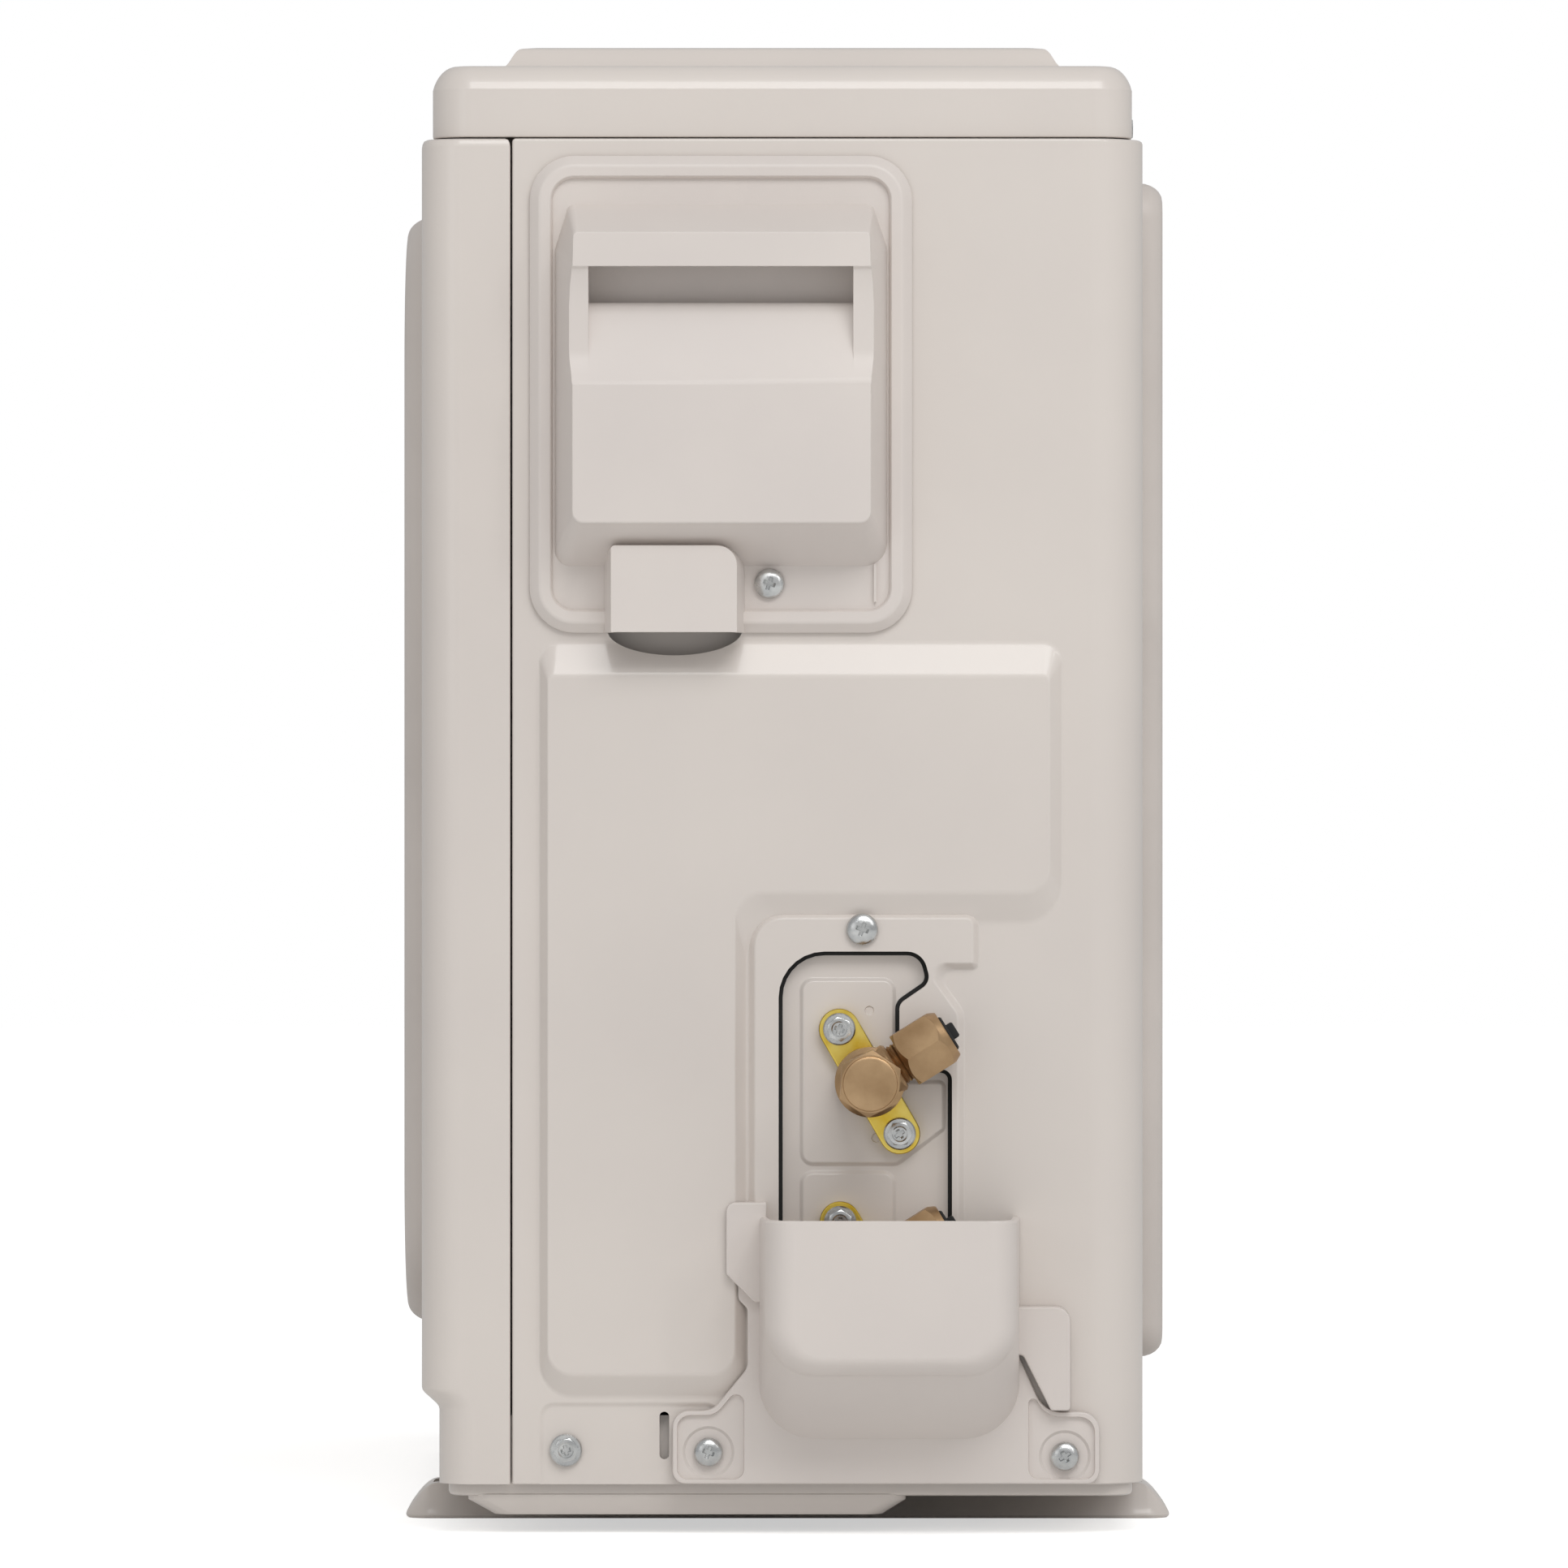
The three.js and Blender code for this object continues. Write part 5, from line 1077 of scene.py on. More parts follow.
def port_plug(centre):
    """The moulded shipping plug: a round flange with a square grip."""
    turn = arm_turn(centre)
    disc = solid(turned("z", 0, 0, [(6.6, NUT_END - 5.6), (6.9, NUT_END - 5), (6.9, NUT_END + 0.4),
                                    (6.3, NUT_END + 1.0)], 32), turn=turn)
    grip = solid(loft("z", [(NUT_END, rounded(rectangle(-3.1, -3.1, 3.1, 3.1, 0.8))),
                            (NUT_END + 3.0, rounded(rectangle(-3.0, -3.0, 3.0, 3.0, 0.8))),
                            (NUT_END + 3.5, rounded(rectangle(-2.5, -2.5, 2.5, 2.5, 0.7)))]), turn=turn)
    return shaped(disc, ("join", grip))


def valve_set(prefix, centre, service_port):
    slots = dict(slot="brass")
    piece(f"{prefix}_valve", joined(valve_barrel(centre, service_port), valve_flange(centre)),
          [forged_brass, passivated_flange], "cabinet", [f"{prefix}_valve_body"], **slots)
    piece(f"{prefix}_stem", turned_solid("x", *centre, [(3.0, STEM_SEAT - 11.6), (3.2, STEM_SEAT - 11),
                                                        (3.2, STEM_SEAT + 7.4), (2.7, STEM_SEAT + 8)], 32),
          turned_brass, f"{prefix}_stem", [f"{prefix}_valve_stem"], **slots)
    piece(f"{prefix}_cap_nut", valve_cap(centre), forged_brass, f"{prefix}_cap", [f"{prefix}_valve_cap"],
          **slots)
    piece(f"{prefix}_union_nut", flare_nut(centre), forged_brass, f"{prefix}_nut",
          [f"{prefix}_flare_nut"], **slots)
    piece(f"{prefix}_shipping_plug", port_plug(centre), black_rubber, f"{prefix}_plug",
          [f"{prefix}_port_plug"], slot="rubber")


valve_set("liquid", LIQUID, False)
valve_set("gas", GAS, True)
piece("service_cap_nut", on_arm(GAS, [(6.4, 17.4), (7, 18), (7, 26.4), (6.4, 27.6), (5.2, 28.6), (3, 29)], 40,
                                180),
      forged_brass, "service_cap", ["service_port_cap"], slot="brass")

# %% [markdown]
# ## Screws
# Every screw is the same two or three heads again, so Geometry Nodes put a finished head on each
# point of a small point mesh. The point carries its turn as an attribute, so that no two crosses
# line up. The heads are turned shapes with a Phillips cross cut in.

# %% Screw heads and the tree that places them
def phillips(head_mesh, top, width):
    """Cuts a tapered cross into a head built up the Z axis around the origin."""
    arm = 1.7                                    # width of a slot at the face of the head
    bars = []
    for u, v in ((width / 2, arm / 2), (arm / 2, width / 2)):
        bars.append(("cut", solid_local(loft("z", [
            (top - 2.0, rounded(rectangle(-u * 0.55, -v * 0.8, u * 0.55, v * 0.8, 0.1))),
            (top + 0.6, rounded(rectangle(-u, -v, u, v, 0.3)))]))))
    return shaped(head_mesh, *bars)


def solid_local(shell):
    """A solid in metres about the origin, without the cabinet's offset."""
    mesh = solid(shell)
    mesh.transform(Matrix.Translation((0, -MID_Y * MM, 0)))
    return mesh


def pan_head(radius):
    profile = [(2.1, -5.0), (2.1, 0), (radius * 0.97, 0.02), (radius, 0.35)]
    profile += [(radius * math.cos(a) ** 0.8, 0.6 + 2.3 * math.sin(a))
                for a in (math.radians(12 * i) for i in range(1, 7))]
    profile.append((0.3, 2.98))
    return phillips(solid_local(turned("z", 0, 0, profile, 36)), 2.95, radius * 0.98)


def washer_head(radius):
    """Hexagon head with a pressed washer, as on a sheet-metal screw."""
    collar = solid_local(turned("z", 0, 0, [(2.1, -5.0), (2.1, 0), (radius, 0.02), (radius, 0.5),
                                            (radius - 0.5, 1.0)], 40))
    hexagon = solid_local(prism("z", circle(0, 0, radius * 0.78, 6), 0.3, 3.0))
    crown = solid_local(turned("z", 0, 0, [(radius, 0), (radius, 2.0), (radius * 0.66, 2.95),
                                           (radius * 0.5, 3.0),
                                           (radius * 0.42, 2.6), (0.3, 2.55)], 40))
    return phillips(shaped(shaped(hexagon, ("keep", crown)), ("join", collar)), 2.6, radius * 0.72)


def placing_tree():
    """Geometry Nodes: one copy of a head on each point, turned by the point's own angle."""
    tree = bpy.data.node_groups.new("heads_on_points", "GeometryNodeTree")
    tree.is_modifier = True
    for name, kind in (("Points", "NodeSocketGeometry"), ("Head", "NodeSocketObject"),
                       ("Finish", "NodeSocketMaterial")):
        tree.interface.new_socket(name, in_out="INPUT", socket_type=kind)
    tree.interface.new_socket("Screws", in_out="OUTPUT", socket_type="NodeSocketGeometry")
    given = add_node(tree, "NodeGroupInput").outputs
    turn = add_node(tree, "GeometryNodeInputNamedAttribute", {"Name": "turn"}, data_type="FLOAT_VECTOR")
    rotation = add_node(tree, "FunctionNodeEulerToRotation", {"Euler": turn.outputs["Attribute"]})
    head = add_node(tree, "GeometryNodeObjectInfo", {"Object": given["Head"]})
    copies = add_node(tree, "GeometryNodeInstanceOnPoints", {
        "Points": given["Points"], "Instance": head.outputs["Geometry"],
        "Rotation": rotation.outputs["Rotation"]})
    real = add_node(tree, "GeometryNodeRealizeInstances", {"Geometry": copies.outputs["Instances"]})
    finish = add_node(tree, "GeometryNodeSetMaterial", {
        "Geometry": real.outputs["Geometry"], "Material": given["Finish"]})
    add_node(tree, "NodeGroupOutput", {"Screws": finish.outputs["Geometry"]})
    return tree


HEADS_ON_POINTS = placing_tree()


def grown(name, points_mesh, tree, **values):
    """The plain mesh that a Geometry Nodes tree makes from a base mesh and named inputs."""
    holder = link(bpy.data.objects.new(name + "_points", points_mesh))
    grower = holder.modifiers.new("grow", "NODES")
    grower.node_group = tree
    sockets = {item.name: item.identifier for item in tree.interface.items_tree if item.in_out == "INPUT"}
    for key, value in values.items():
        grower[sockets[key.replace("_", " ")]] = value
    result = evaluated_mesh(holder)
    bpy.data.objects.remove(holder)
    return result


def screws(name, head_mesh, places, body, nodes, axis="x"):
    """Screws at (x, y, z) seats whose heads point along +X or +Y."""
    head = link(bpy.data.objects.new(name + "_head", head_mesh))
    points = bpy.data.meshes.new(name)
    points.from_pydata([metres(place) for place in places], [], [])
    turns = points.attributes.new("turn", "FLOAT_VECTOR", "POINT")
    for i in range(len(places)):
        own = math.radians(37 * i + 20)
        turns.data[i].vector = (math.pi / 2, own, math.pi / 2) if axis == "x" else (-math.pi / 2, own, 0)
    made = grown(name, points, HEADS_ON_POINTS, Head=head, Finish=zinc_plate)
    bpy.data.objects.remove(head)
    return piece(name, made, zinc_plate, body, nodes, "zinc", angle=38)


def seat_of(node, rise=0.0, axis=0):
    """Where the underside of a modelled screw's head sits: its box's outer end less the head."""
    high = box_mm(node)[1]
    middle = centre_of(node)
    middle[axis] = high[axis] - (MID_Y if axis == 1 else 0) - rise
    return tuple(middle)


# %% Screws of each body
screws("cover_screw", pan_head(5.6), [seat_of("terminal_cover_screw", 3.0)], "terminal_cover",
       ["terminal_cover_screw"])
screws("valve_cover_screws", pan_head(5.4), [seat_of(name, 2.8) for name in VALVE_COVER_SCREWS],
       "valve_cover",
       VALVE_COVER_SCREWS)
screws("tab_screw", pan_head(5.9), [seat_of("side_panel_upper_screw", 3.0)], "cabinet",
       ["side_panel_upper_screw"])
FLANGE_SCREWS = [f"{prefix}_valve_screw_{place}"
                 for prefix in ("liquid", "gas") for place in ("upper", "lower")]
screws("washer_screws", washer_head(6.0), [seat_of(name, 3.3) for name in FLANGE_SCREWS]
       + [seat_of("side_panel_lower_screw", 3.0)], "cabinet", FLANGE_SCREWS + ["side_panel_lower_screw"])
LID_SCREWS = ["lid_screw_left", "lid_screw_right"]
screws("lid_screws", washer_head(5.0), [seat_of(name, 2.6, 1) for name in LID_SCREWS], "top_cover",
       LID_SCREWS, "y")

# %% [markdown]
# ## Left side sheet
# Air also enters the coil through the left side, so this sheet is pierced with rows of slots. Each
# slot has a rolled bead round it, which stiffens the sheet. The slots repeat on a grid: Geometry
# Nodes copy one cutter and one bead to every place, and the cutters then pierce the sheet.

# %% Left side sheet
LOUVRES = {"rows": 14, "first": 70, "pitch": 30, "height": 20, "width": 58, "columns": (-84, -14, 56)}


def slot_places():
    return [(LEFT, y + LOUVRES["width"] / 2,
             LOUVRES["first"] + row * LOUVRES["pitch"] + LOUVRES["height"] / 2)
            for row in range(LOUVRES["rows"]) for y in LOUVRES["columns"]]


def repeated(name, unit_mesh, places, finish):
    """Geometry Nodes: one copy of a mesh at each place, unturned."""
    unit = link(bpy.data.objects.new(name + "_unit", unit_mesh))
    points = bpy.data.meshes.new(name)
    points.from_pydata([metres(place) for place in places], [], [])
    turns = points.attributes.new("turn", "FLOAT_VECTOR", "POINT")
    for i in range(len(places)):
        turns.data[i].vector = (0, 0, 0)
    made = grown(name, points, HEADS_ON_POINTS, Head=unit, Finish=finish)
    bpy.data.objects.remove(unit)
    return made


def left_side():
    back = LEFT + 26
    seam = SEAM_Y + 0.35
    plan = [(LEFT, seam, 1.1), (back, seam), (back, REAR), (LEFT, REAR, 12)]
    outer = solid(loft("z", [(PANEL_BOTTOM, rounded(plan, 0.3, 10)),
                             (PANEL_BOTTOM + 0.4, rounded(plan, 0, 10)),
                             (PANEL_TOP - 1.2, rounded(plan, 0, 10)),
                             (PANEL_TOP - 0.5, rounded(plan, 0.25, 10)),
                             (PANEL_TOP, rounded(plan, 1.0, 10))]))
    inner = solid(prism("z", rounded(plan, SHEET, 10), PANEL_BOTTOM - 2, PANEL_TOP - SHEET))
    open_back = solid(block(LEFT + 12, seam - 2, PANEL_BOTTOM - 2, back + 2, REAR - SHEET, PANEL_TOP - SHEET))
    open_top = solid(block(LEFT + 14, seam - 2, PANEL_TOP - 4, back + 2, REAR - 14, PANEL_TOP + 2))
    half_w, half_h = LOUVRES["width"] / 2, LOUVRES["height"] / 2
    hole = rectangle(-half_w, -half_h, half_w, half_h, 5)
    cutter = solid_local(prism("x", rounded(hole), -3, 4))
    holes = repeated("slot_cutters", cutter, slot_places(), painted_steel)
    return shaped(outer, ("cut", inner), ("cut", open_back), ("cut", open_top), ("cut", holes))


def slot_lips():
    """Folded lips round the slots, turned into the cabinet."""
    half_w, half_h = LOUVRES["width"] / 2, LOUVRES["height"] / 2
    hole = rectangle(-half_w, -half_h, half_w, half_h, 5)
    ring = lambda inset, depth: (depth, rounded(hole, inset))
    shell = shaped(solid_local(loft("x", [ring(-0.3, 1.2), ring(-0.3, 4.2)])),
                   ("cut", solid_local(loft("x", [ring(0.9, 0.6), ring(0.9, 5)]))))
    slat = shaped(shell, ("join", solid_local(block(1.6, -half_w - 0.2, -0.7, 4.0, half_w + 0.2, 0.7))))
    return repeated("slot_lips", slat, slot_places(), painted_steel)


piece("left_sheet", left_side(), painted_steel, replaces=["left_side_panel"])
piece("left_slot_lips", slot_lips(), painted_steel)

# %% [markdown]
# ## Fan guard
# A square guard with rounded corners keeps fingers out of the fan. Its closely spaced rings climb
# from the border to the hub like a flat cone, on curved ribs. Rings follow a rule, so Geometry Nodes
# sweep a small bar round a circle, once for each radius. The ribs are curves swept the same way.
# The border is a loft of rounded squares.

# %% Fan guard
guard_low, guard_high = box_mm("fan_grille")
GUARD_FACE, GUARD_SEAT = guard_low[1] - MID_Y, guard_high[1] - MID_Y
GUARD_BORDER = FRONT - 14.2                     # face of the square border
GUARD_OPENING = 204.0
GUARD_SQUARE = rectangle(guard_low[0], guard_low[2], guard_high[0], guard_high[2], 60)


def sweep_tree():
    """Geometry Nodes: a bar of round-cornered section swept along every edge path of a mesh."""
    tree = bpy.data.node_groups.new("bars_on_paths", "GeometryNodeTree")
    tree.is_modifier = True
    for name, kind in (("Paths", "NodeSocketGeometry"), ("Bar Radius", "NodeSocketFloat"),
                       ("Finish", "NodeSocketMaterial")):
        tree.interface.new_socket(name, in_out="INPUT", socket_type=kind)
    tree.interface.new_socket("Sides", in_out="INPUT", socket_type="NodeSocketInt")
    tree.interface.new_socket("Bars", in_out="OUTPUT", socket_type="NodeSocketGeometry")
    given = add_node(tree, "NodeGroupInput").outputs
    paths = add_node(tree, "GeometryNodeMeshToCurve", {"Mesh": given["Paths"]})
    section = add_node(tree, "GeometryNodeCurvePrimitiveCircle", {
        "Resolution": given["Sides"], "Radius": given["Bar Radius"]})
    bars = add_node(tree, "GeometryNodeCurveToMesh", {
        "Curve": paths.outputs["Curve"], "Profile Curve": section.outputs["Curve"], "Fill Caps": True})
    real = add_node(tree, "GeometryNodeRealizeInstances", {"Geometry": bars.outputs["Mesh"]})
    finish = add_node(tree, "GeometryNodeSetMaterial", {
        "Geometry": real.outputs["Geometry"], "Material": given["Finish"]})
    add_node(tree, "NodeGroupOutput", {"Bars": finish.outputs["Geometry"]})
    return tree


BARS_ON_PATHS = sweep_tree()


def bars(name, paths, radius, finish, sides=8):
    """Round bars along polylines; a path whose first and last points agree is closed."""
    verts, edges = [], []
    for path in paths:
        closed = (Vector(path[0]) - Vector(path[-1])).length < 1e-6
        points = path[:-1] if closed else path
        start = len(verts)
        verts += [metres(point) for point in points]
        edges += [(start + i, start + i + 1) for i in range(len(points) - 1)]
        if closed:
            edges.append((start + len(points) - 1, start))
    mesh = bpy.data.meshes.new(name)
    mesh.from_pydata(verts, edges, [])
    return grown(name, mesh, BARS_ON_PATHS, Bar_Radius=radius * MM, Sides=sides, Finish=finish)


def ring_path(radius, depth, sides=96):
    return [(FAN_X + radius * math.cos(2 * math.pi * i / sides), depth,
             FAN_Z + radius * math.sin(2 * math.pi * i / sides)) for i in range(sides)] + [
                 (FAN_X + radius, depth, FAN_Z)]


def guard_face_at(radius):
    """Depth of the cone's face at a distance from the hub."""
    return GUARD_FACE + (GUARD_BORDER - GUARD_FACE) * radius / GUARD_OPENING


def rib_path(index, count, start, end, drop, twist=0.5):
    points = []
    for i in range(19):
        share = i / 18
        radius = start + (end - start) * share
        angle = 2 * math.pi * index / count + twist * share
        points.append((FAN_X + radius * math.cos(angle), guard_face_at(radius) + drop,
                       FAN_Z + radius * math.sin(angle)))
    return points


def guard_border(inset, back):
    """The dished square from its seat to its face, moved inwards by `inset`."""
    at = lambda depth, side: (depth, rounded(GUARD_SQUARE, side + inset, 12))
    edge = [at(GUARD_BORDER + inset + 10 - 10 * math.sin(a), 8 * (1 - math.cos(a)))
            for a in (math.radians(90 - 10 * i) for i in range(10))]
    return solid(loft("y", [*edge, at(GUARD_SEAT - 2 + back, 0), at(GUARD_SEAT + back, 0)]))


def fan_guard():
    bar = 1.6
    mouth = turned_solid("y", FAN_X, FAN_Z, [(GUARD_OPENING + 1.5, GUARD_BORDER - 1),
                                             (GUARD_OPENING, GUARD_BORDER + 0.8),
                                             (GUARD_OPENING, GUARD_BORDER + 8)], 128)
    border = shaped(guard_border(0, 0), ("cut", guard_border(2.2, 1)), ("cut", mouth))
    hub = turned_solid("y", FAN_X, FAN_Z, [(20, GUARD_FACE), (30, GUARD_FACE + 0.5), (34, GUARD_FACE + 2.2),
                                           (35, GUARD_FACE + 4.2), (35, GUARD_FACE + 6),
                                           (10, GUARD_FACE + 6)], 72)
    radii = [46 + 11.2 * i for i in range(14)] + [GUARD_OPENING]
    rings = bars("guard_rings", [ring_path(radius, guard_face_at(radius) + bar + 0.2) for radius in radii],
                 bar,
                 guard_plastic, 8)
    ribs = bars("guard_ribs", [rib_path(i, 12, 31, GUARD_OPENING + 2, bar + 2.6) for i in range(12)],
                1.9, guard_plastic, 8)
    return joined(border, hub, rings, ribs)


piece("fan_guard", fan_guard(), [guard_plastic] * 4, replaces=["fan_grille"])

# %% [markdown]
# ## Rear guard
# A dished frame with a lattice of thin bars protects the coil. The lattice is swept bars again.

# %% Rear guard
rear_low, rear_high = box_mm("rear_guard")
REAR_FACE = rear_high[1] - MID_Y


def rear_frame():
    border = rectangle(rear_low[0], rear_low[2], rear_high[0], rear_high[2], 14)
    seat = rear_low[1] - MID_Y
    at = lambda depth, inset: (depth, rounded(border, inset))
    outside = [at(seat, 0), at(REAR_FACE - 9, 0), *[
        at(REAR_FACE - 9 + 9 * math.sin(a), 7 * (1 - math.cos(a)))
        for a in (math.radians(15 * i) for i in range(1, 7))]]
    inside = [at(seat - 2, 2), at(REAR_FACE - 9, 2), at(REAR_FACE - 4.5, 5), at(REAR_FACE - 2.2, 10),
              at(REAR_FACE - 2.2, 14)]
    window = solid(prism("y", rounded(border, 13), REAR_FACE - 8, REAR_FACE + 2))
    return shaped(solid(loft("y", outside)), ("cut", solid(loft("y", inside))), ("cut", window))


def rear_lattice():
    left, right = rear_low[0] + 12, rear_high[0] - 12
    bottom, top = rear_low[2] + 12, rear_high[2] - 12
    columns, rows = 18, 20
    depth = REAR_FACE - 1.8
    upright = [[(left + (right - left) * i / columns, depth, bottom),
                (left + (right - left) * i / columns, depth, top)] for i in range(1, columns)]
    across = [[(left, depth - 1.8, bottom + (top - bottom) * i / rows),
               (right, depth - 1.8, bottom + (top - bottom) * i / rows)] for i in range(1, rows)]
    return bars("rear_bars", upright + across, 1.3, guard_plastic, 8)


piece("rear_guard_frame", joined(rear_frame(), rear_lattice()), [guard_plastic] * 2, replaces=["rear_guard"])

# %% [markdown]
# ## Coil
# Hundreds of thin aluminium fins are pressed on copper tubes, bent into an L round two sides. The
# fins are drawn 3 mm apart, about twice the real spacing, so that single fins show. Geometry Nodes
# put one fin on each point of the bend line, turned square to it, and copper bends join the tubes
# at the front end.

# %% Coil
coil_low, coil_high = box_mm("coil")
COIL_THICK = 24.0
FIN_SPACING = 3.0


def coil_line():
    """Points along the middle of the coil from its front end to its right end, with directions."""
    x = coil_low[0] + COIL_THICK / 2
    y = coil_high[1] - MID_Y - COIL_THICK / 2
    bend = 28.0
    front, right = coil_low[1] - MID_Y, coil_high[0]
    straight_one, arc = y - bend - front, math.pi / 2 * bend
    total = straight_one + arc + right - x - bend
    places = []
    for i in range(int(total / FIN_SPACING) + 1):
        s = 0.6 + i * (total - 1.2) / int(total / FIN_SPACING)
        if s < straight_one:
            places.append((x, front + s, 0.0))
        elif s < straight_one + arc:
            a = (s - straight_one) / bend
            places.append((x + bend - bend * math.cos(a), y - bend + bend * math.sin(a), a))
        else:
            places.append((x + bend + s - straight_one - arc, y, math.pi / 2))
    return places


def coil_fins():
    low, high = coil_low[2], coil_high[2]
    half = COIL_THICK / 2 - 0.3
    fin = solid_local(block(-half, -0.11, low, half, 0.11, high))
    head = link(bpy.data.objects.new("fin_unit", fin))
    points = bpy.data.meshes.new("fin_points")
    places = coil_line()
    points.from_pydata([metres((x, y, 0)) for x, y, _ in places], [], [])
    turns = points.attributes.new("turn", "FLOAT_VECTOR", "POINT")
    for i, (_, _, angle) in enumerate(places):
        turns.data[i].vector = (0, 0, -angle)
    made = grown("fins", points, HEADS_ON_POINTS, Head=head, Finish=aluminium_fins)
    bpy.data.objects.remove(head)
    return made


def coil_tubes():
    rows = [coil_low[2] + 22 + 22 * i for i in range(22)]
    line = coil_line()
    runs = []
    for offset in (-6.5, 6.5):
        for z in rows:
            runs.append([(x + offset * math.cos(a), y - offset * math.sin(a), z)
                         for x, y, a in line[::6] + line[-1:]])
    bends = []
    front = coil_low[1] - MID_Y
    x = coil_low[0] + COIL_THICK / 2
    for offset in (-6.5, 6.5):
        for z in rows[int(offset > 0):-1:2]:
            bends.append([(x + offset, front - 2.6, z), (x + offset, front - 8, z)] + [
                (x + offset, front - 8 - 11 * math.sin(a), z + 11 - 11 * math.cos(a))
                for a in (math.radians(15 * i) for i in range(1, 12))] + [
                    (x + offset, front - 8, z + 22), (x + offset, front - 2.6, z + 22)])
    return bars("coil_tubes", runs, 3.5, copper_tube, 10), bars("coil_bends", bends, 3.4, copper_tube, 12)


tubes, bends = coil_tubes()
piece("coil_fins", coil_fins(), aluminium_fins, replaces=["coil"], slot="aluminium", angle=60)
piece("coil_tubes", joined(tubes, bends), [copper_tube] * 2, slot="copper")

# %% [markdown]
# ## Fan and motor
# Three broad blades with a swept leading edge move a lot of air quietly. A blade is a stack of
# cambered sections along the radius, each thinner and flatter than the last, cut to a circle.

# %% Fan and motor
SWEPT_FRONT, SWEPT_REAR = fan_low[1] - MID_Y, fan_high[1] - MID_Y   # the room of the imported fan
HUB_RADIUS = 44.0
BLADE_TIP = 197.6
BLADES = 3
HUB_FRONT, HUB_REAR = -92.0, -40.0
BLADE_CHORD, BLADE_WIDENING = 66, 128           # at the hub, and gained towards the tip
BLADE_PITCH, BLADE_UNTWIST = 37, 15             # degrees at the hub, and lost towards the tip
BLADE_SWEEP, BLADE_CAMBER = 26, 9.5


def fan_blade(index):
    sections = []
    count = 14
    for k in range(count + 1):
        t = k / count
        radius = HUB_RADIUS - 4 + t * (BLADE_TIP + 12 - HUB_RADIUS)
        chord = BLADE_CHORD + BLADE_WIDENING * t ** 0.75
        pitch = math.radians(BLADE_PITCH - BLADE_UNTWIST * t)
        sweep_back = -BLADE_SWEEP * t * t
        thick = 1.7 - 0.5 * t
        upper, lower = [], []
        for j in range(13):
            s = j / 12
            along = (s - 0.5) * chord + sweep_back
            camber = BLADE_CAMBER * 4 * s * (1 - s) * (0.35 + 0.65 * t)
            half = thick * (math.sin(math.pi * s) ** 0.35 if 0 < s < 1 else 0.12)
            upper.append((along, camber + half))
            lower.append((along, camber - half))
        rim = lower + upper[::-1]
        centre = (HUB_FRONT + HUB_REAR) / 2 + 6 * t
        sections.append((radius, [(u * math.cos(pitch) - v * math.sin(pitch),
                                   u * math.sin(pitch) + v * math.cos(pitch) + centre) for u, v in rim]))
    turn = (Matrix.Translation((FAN_X, 0, FAN_Z))
            @ Matrix.Rotation(math.radians(360 / BLADES * index), 4, "Y"))
    return solid(loft("z", sections), turn=turn)


def propeller():
    limit = turned_solid("y", FAN_X, FAN_Z, [(BLADE_TIP, SWEPT_FRONT + 0.1), (BLADE_TIP, SWEPT_REAR - 0.1)],
                         128)
    profile = [(10, HUB_FRONT + 5), (12, HUB_FRONT + 1), (30, HUB_FRONT), (37, HUB_FRONT + 1.6),
               (42, HUB_FRONT + 5.5),
               (44, HUB_FRONT + 12), (44, HUB_REAR)]
    hub = solid(loft("y", [(w, circle(FAN_X, FAN_Z, r, 72)) for r, w in profile]))
    bore = turned_solid("y", FAN_X, FAN_Z, [(4.4, HUB_FRONT - 2), (4.4, HUB_REAR + 2)], 24)
    cup_inside = turned_solid("y", FAN_X, FAN_Z, [(36, HUB_FRONT + 6), (41, HUB_FRONT + 14),
                                                  (41, HUB_REAR + 2)], 72)
    boss = turned_solid("y", FAN_X, FAN_Z, [(12, HUB_FRONT + 3), (11, HUB_REAR)], 40)
    blades = [("join", fan_blade(i)) for i in range(BLADES)]
    blade_set = shaped(turned_solid("y", FAN_X, FAN_Z, [(43.6, HUB_FRONT + 14), (43.6, HUB_REAR - 0.5)], 72),
                       *blades,
                       ("keep", limit))
    return shaped(hub, ("join", blade_set), ("cut", cup_inside), ("join", boss), ("cut", bore))


piece("axial_fan", propeller(), fan_plastic, "fan", ["propeller_fan"], "fan_plastic", angle=40)


def motor():
    low, high = box_mm("fan_motor")
    front, rear = low[1] - MID_Y, high[1] - MID_Y
    radius = 42.0
    can = turned_solid("y", FAN_X, FAN_Z, [(14, front), (28, front + 0.6), (31, front + 3), (37, front + 7),
                                           (41.2, front + 10), (radius, front + 14), (radius, rear - 22),
                                           (41, rear - 20), (41, rear - 17), (radius, rear - 15),
                                           (radius, rear - 9), (40.6, rear - 6), (36, rear)], 64)
    lugs = [("join", solid(loft("y", [
        (rear - 6, rounded(rectangle(FAN_X + dx * 38 - 12, FAN_Z + dz * 22 - 10, FAN_X + dx * 38 + 12,
                                     FAN_Z + dz * 22 + 10, 4))),
        (rear - 0.1, rounded(rectangle(FAN_X + dx * 38 - 12, FAN_Z + dz * 22 - 10, FAN_X + dx * 38 + 12,
                                       FAN_Z + dz * 22 + 10, 4)))]))) for dx in (-1, 1) for dz in (-1, 1)]
    return shaped(can, *lugs)


piece("motor_can", motor(), black_enamel, replaces=["fan_motor"], slot="black_paint")

# %% [markdown]
# ## Compressor room
# The compressor is two drawn cups welded round the middle, on three rubber feet, with its small
# accumulator beside it. Pipes are swept along smooth curves through the same points as the packed
# pipes.

# %% Compressor, accumulator and feet
def pot(node, profile, finish, slot, sides=64, extra=()):
    x, y, _ = centre_of(node)
    return piece(node + "_shell", shaped(turned_solid("z", x, y, profile, sides), *extra), finish,
                 replaces=[node], slot=slot)


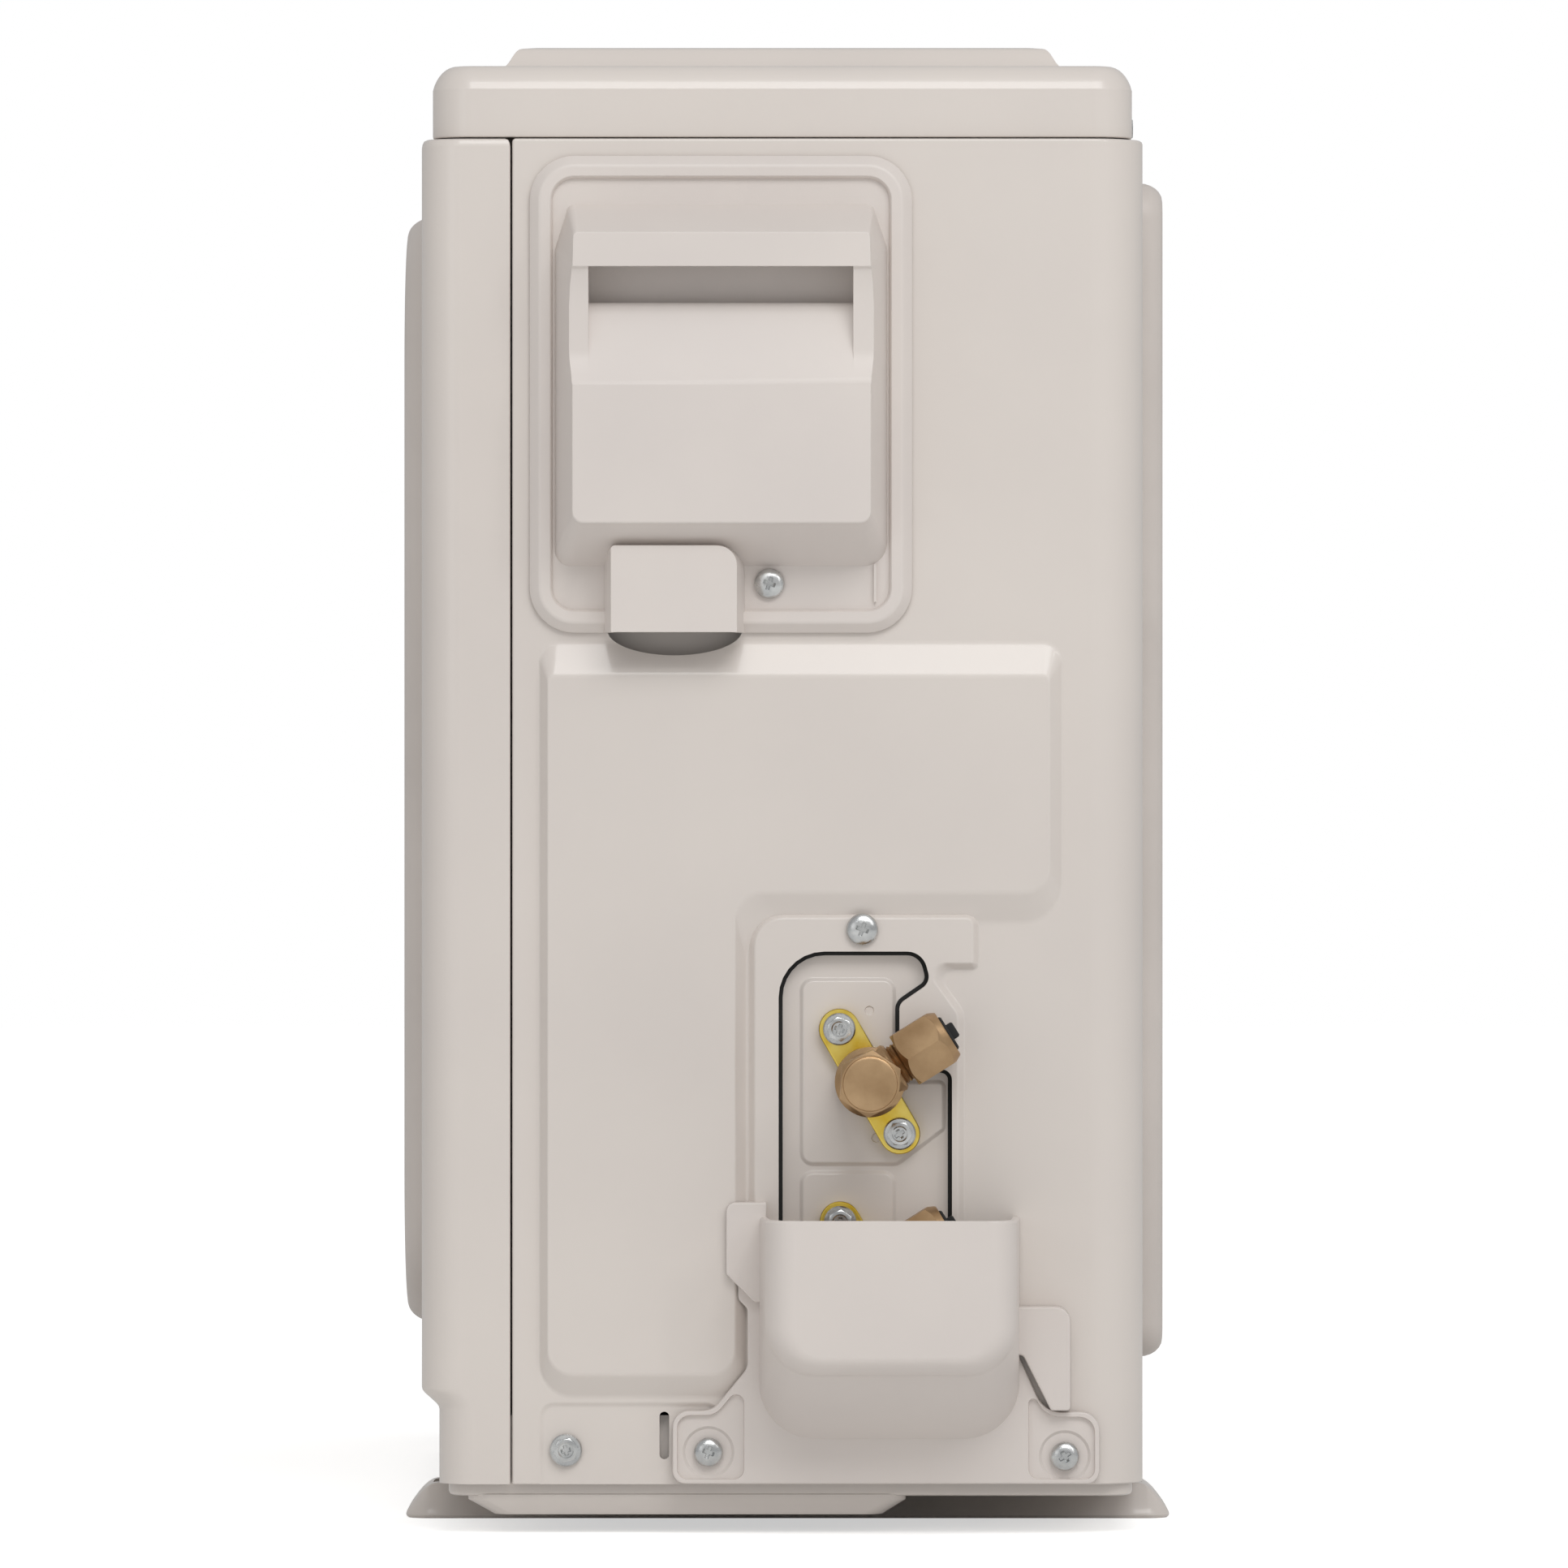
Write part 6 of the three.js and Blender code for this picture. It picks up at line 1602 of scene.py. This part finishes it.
COMPRESSOR = {"x": 195.0, "y": -30.0, "radius": 58.0, "bottom": 30.0, "top": 252.0, "reach": 76.0}


def compressor():
    c = COMPRESSOR
    x, y, radius, bottom, top = c["x"], c["y"], c["radius"], c["bottom"], c["top"]
    dome = [(radius - 1.6 - 34 * (1 - math.cos(a)), top - 30 + 30 * math.sin(a))
            for a in (math.radians(10 * i) for i in range(0, 10))]
    shell = turned_solid("z", x, y, [(34, bottom - 4), (48, bottom), (55, bottom + 8),
                                     (radius - 1.4, bottom + 20),
                                     (radius - 1.4, bottom + 98), (radius, bottom + 99),
                                     (radius, bottom + 103),
                                     (radius - 1.4, bottom + 104), *dome, (2, top)], 72)
    corners = []
    for k in range(3):
        angle = 2 * math.pi * k / 3 + math.pi / 2
        corners.append((x + (c["reach"] + 24) * math.cos(angle), y + (c["reach"] + 24) * math.sin(angle), 16))
    plate = solid(prism("z", rounded(corners), bottom - 4, bottom - 1))
    return shaped(shell, ("join", plate))


piece("compressor_shell", compressor(), black_enamel, replaces=["compressor"], slot="black_paint")
acc_low, acc_high = box_mm("accumulator")
ACC = {"radius": (acc_high[0] - acc_low[0]) / 2, "low": acc_low[2], "high": acc_high[2]}
pot("accumulator", [(7.6, ACC["low"]), (8.4, ACC["low"] + 4), (16, ACC["low"] + 6.5), (21, ACC["low"] + 11),
                    (ACC["radius"], ACC["low"] + 18), (ACC["radius"], ACC["high"] - 20),
                    (21, ACC["high"] - 13),
                    (15, ACC["high"] - 8), (8, ACC["high"] - 5.4), (7, ACC["high"])],
    black_enamel, "black_paint")
cap_low, cap_high = box_mm("compressor_terminal_cap")
pot("compressor_terminal_cap", [(18.6, cap_low[2]), (19, cap_low[2] + 1), (19, cap_high[2] - 6),
                                (17.8, cap_high[2] - 2.4),
                                (15, cap_high[2] - 0.4), (3, cap_high[2])], black_rubber, "rubber", 40)
for number in (1, 2, 3):
    foot_low, foot_high = box_mm(f"compressor_grommet_{number}")
    base_z, top_z = foot_low[2], foot_high[2]
    pot(f"compressor_grommet_{number}", [(11.4, base_z), (12, base_z + 0.7), (11.6, base_z + 1.6),
                                         (9.2, base_z + 3),
                                         (9.2, top_z - 3), (11.6, top_z - 1.6), (12, top_z - 0.7),
                                         (11.4, top_z)],
        black_rubber, "rubber", 40)


# %% Pipes
def smooth_path(points, step=4.0):
    """A Catmull-Rom curve through the points, sampled about every `step`."""
    result = []
    spots = [Vector(p) for p in points]
    padded = [2 * spots[0] - spots[1], *spots, 2 * spots[-1] - spots[-2]]
    for a, b, c, d in zip(padded, padded[1:], padded[2:], padded[3:]):
        knots = [0.0]
        for p, q in ((a, b), (b, c), (c, d)):
            knots.append(knots[-1] + max((q - p).length, 1e-6) ** 0.5)
        count = max(2, int((c - b).length / step))
        for k in range(count):
            t = knots[1] + (knots[2] - knots[1]) * k / count
            mix = lambda p, q, t0, t1: p * ((t1 - t) / (t1 - t0)) + q * ((t - t0) / (t1 - t0))
            a1, a2, a3 = mix(a, b, knots[0], knots[1]), mix(b, c, knots[1], knots[2]), mix(c, d, knots[2],
                                                                                           knots[3])
            b1, b2 = mix(a1, a2, knots[0], knots[2]), mix(a2, a3, knots[1], knots[3])
            result.append(tuple(mix(b1, b2, knots[1], knots[2])))
    return result + [tuple(spots[-1])]


REVERSING = (190.0, 78.0, 300.0)
EXPANSION = (130.0, 76.0, 230.0)
TAIL = BRACKET_FACE - 22.4
ACC_X, ACC_Y = centre_of("accumulator")[:2]
PIPES = {
    "discharge_pipe": (5.0, [(233, -24, 254), (233, -22, 330), (215, 40, 350), (190, 78, 338),
                             (190, 78, 314)]),
    "suction_pipe": (6.5, [(ACC_X, ACC_Y, 237), (ACC_X, ACC_Y, 286), (276, 10, 306), (262, 64, 262),
                           (222, 80, 250),
                           (214, 78, 272), (214, 78, 286)]),
    "liquid_pipe": (4.0, [(TAIL, *LIQUID), (TAIL - 22, *LIQUID), (262, 46, 150), (200, 88, 140),
                          (136, 82, 156),
                          (130, 76, 180), (130, 76, 203.4)]),
    "gas_pipe": (6.5, [(TAIL, *GAS), (TAIL - 20, *GAS), (264, 70, 108), (232, 102, 160), (190, 100, 224),
                       (190, 80, 258), (190, 78, 285.4)]),
}
for name, (radius, points) in PIPES.items():
    piece(name + "_tube", bars(name, [smooth_path(points)], radius, copper_tube, 20), copper_tube,
          replaces=[name], slot="copper", angle=50)


def reversing_valve():
    x, y, z = REVERSING
    barrel = turned_solid("x", y, z, [(5, x - 58), (5, x - 53), (11.6, x - 52), (13, x - 50), (13, x + 50),
                                      (11.6, x + 52), (5, x + 53), (5, x + 58)], 40)
    solenoid = solid(loft("y", [(y + 11, rounded(rectangle(x - 16, z - 14, x + 16, z + 14, 3))),
                                (y + 34, rounded(rectangle(x - 16, z - 14, x + 16, z + 14, 3))),
                                (y + 36, rounded(rectangle(x - 16, z - 14, x + 16, z + 14, 3), 2))]))
    return joined(barrel, solenoid)


piece("reversing_valve_body", reversing_valve(), [turned_brass, terminal_plastic],
      replaces=["reversing_valve"],
      slot="brass")
EXV_Z = EXPANSION[2]
pot("expansion_valve", [(7.6, EXV_Z - 26), (8, EXV_Z - 25), (8, EXV_Z - 2), (12, EXV_Z), (16.4, EXV_Z + 1),
                        (17, EXV_Z + 2.4), (17, EXV_Z + 27), (15.6, EXV_Z + 30.4), (12, EXV_Z + 32),
                        (12, EXV_Z + 34)],
    forged_brass, "brass", 40)

# %% [markdown]
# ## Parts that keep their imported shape
# Brackets, plates and the electrical box are bent sheet with the right shape already, so they stay
# as packed and only get their finish.

# %% Finishes of the carried-over nodes
KEPT = {
    galvanised_steel: ["coil_right_end_plate", "coil_front_end_plate", "partition_plate", "fan_motor_bracket",
                       "electrical_box", "terminal_plate"],
    circuit_board_lacquer: ["circuit_board"], cast_aluminium: ["heat_sink"],
    terminal_plastic: ["terminal_block"],
    zinc_plate: ["motor_shaft", "fan_nut"],
}
for finish, nodes in KEPT.items():
    for name in nodes:
        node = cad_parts[name]
        node.data.materials.clear()
        node.data.materials.append(finish)
print("kept", sum(len(nodes) for nodes in KEPT.values()), "nodes")
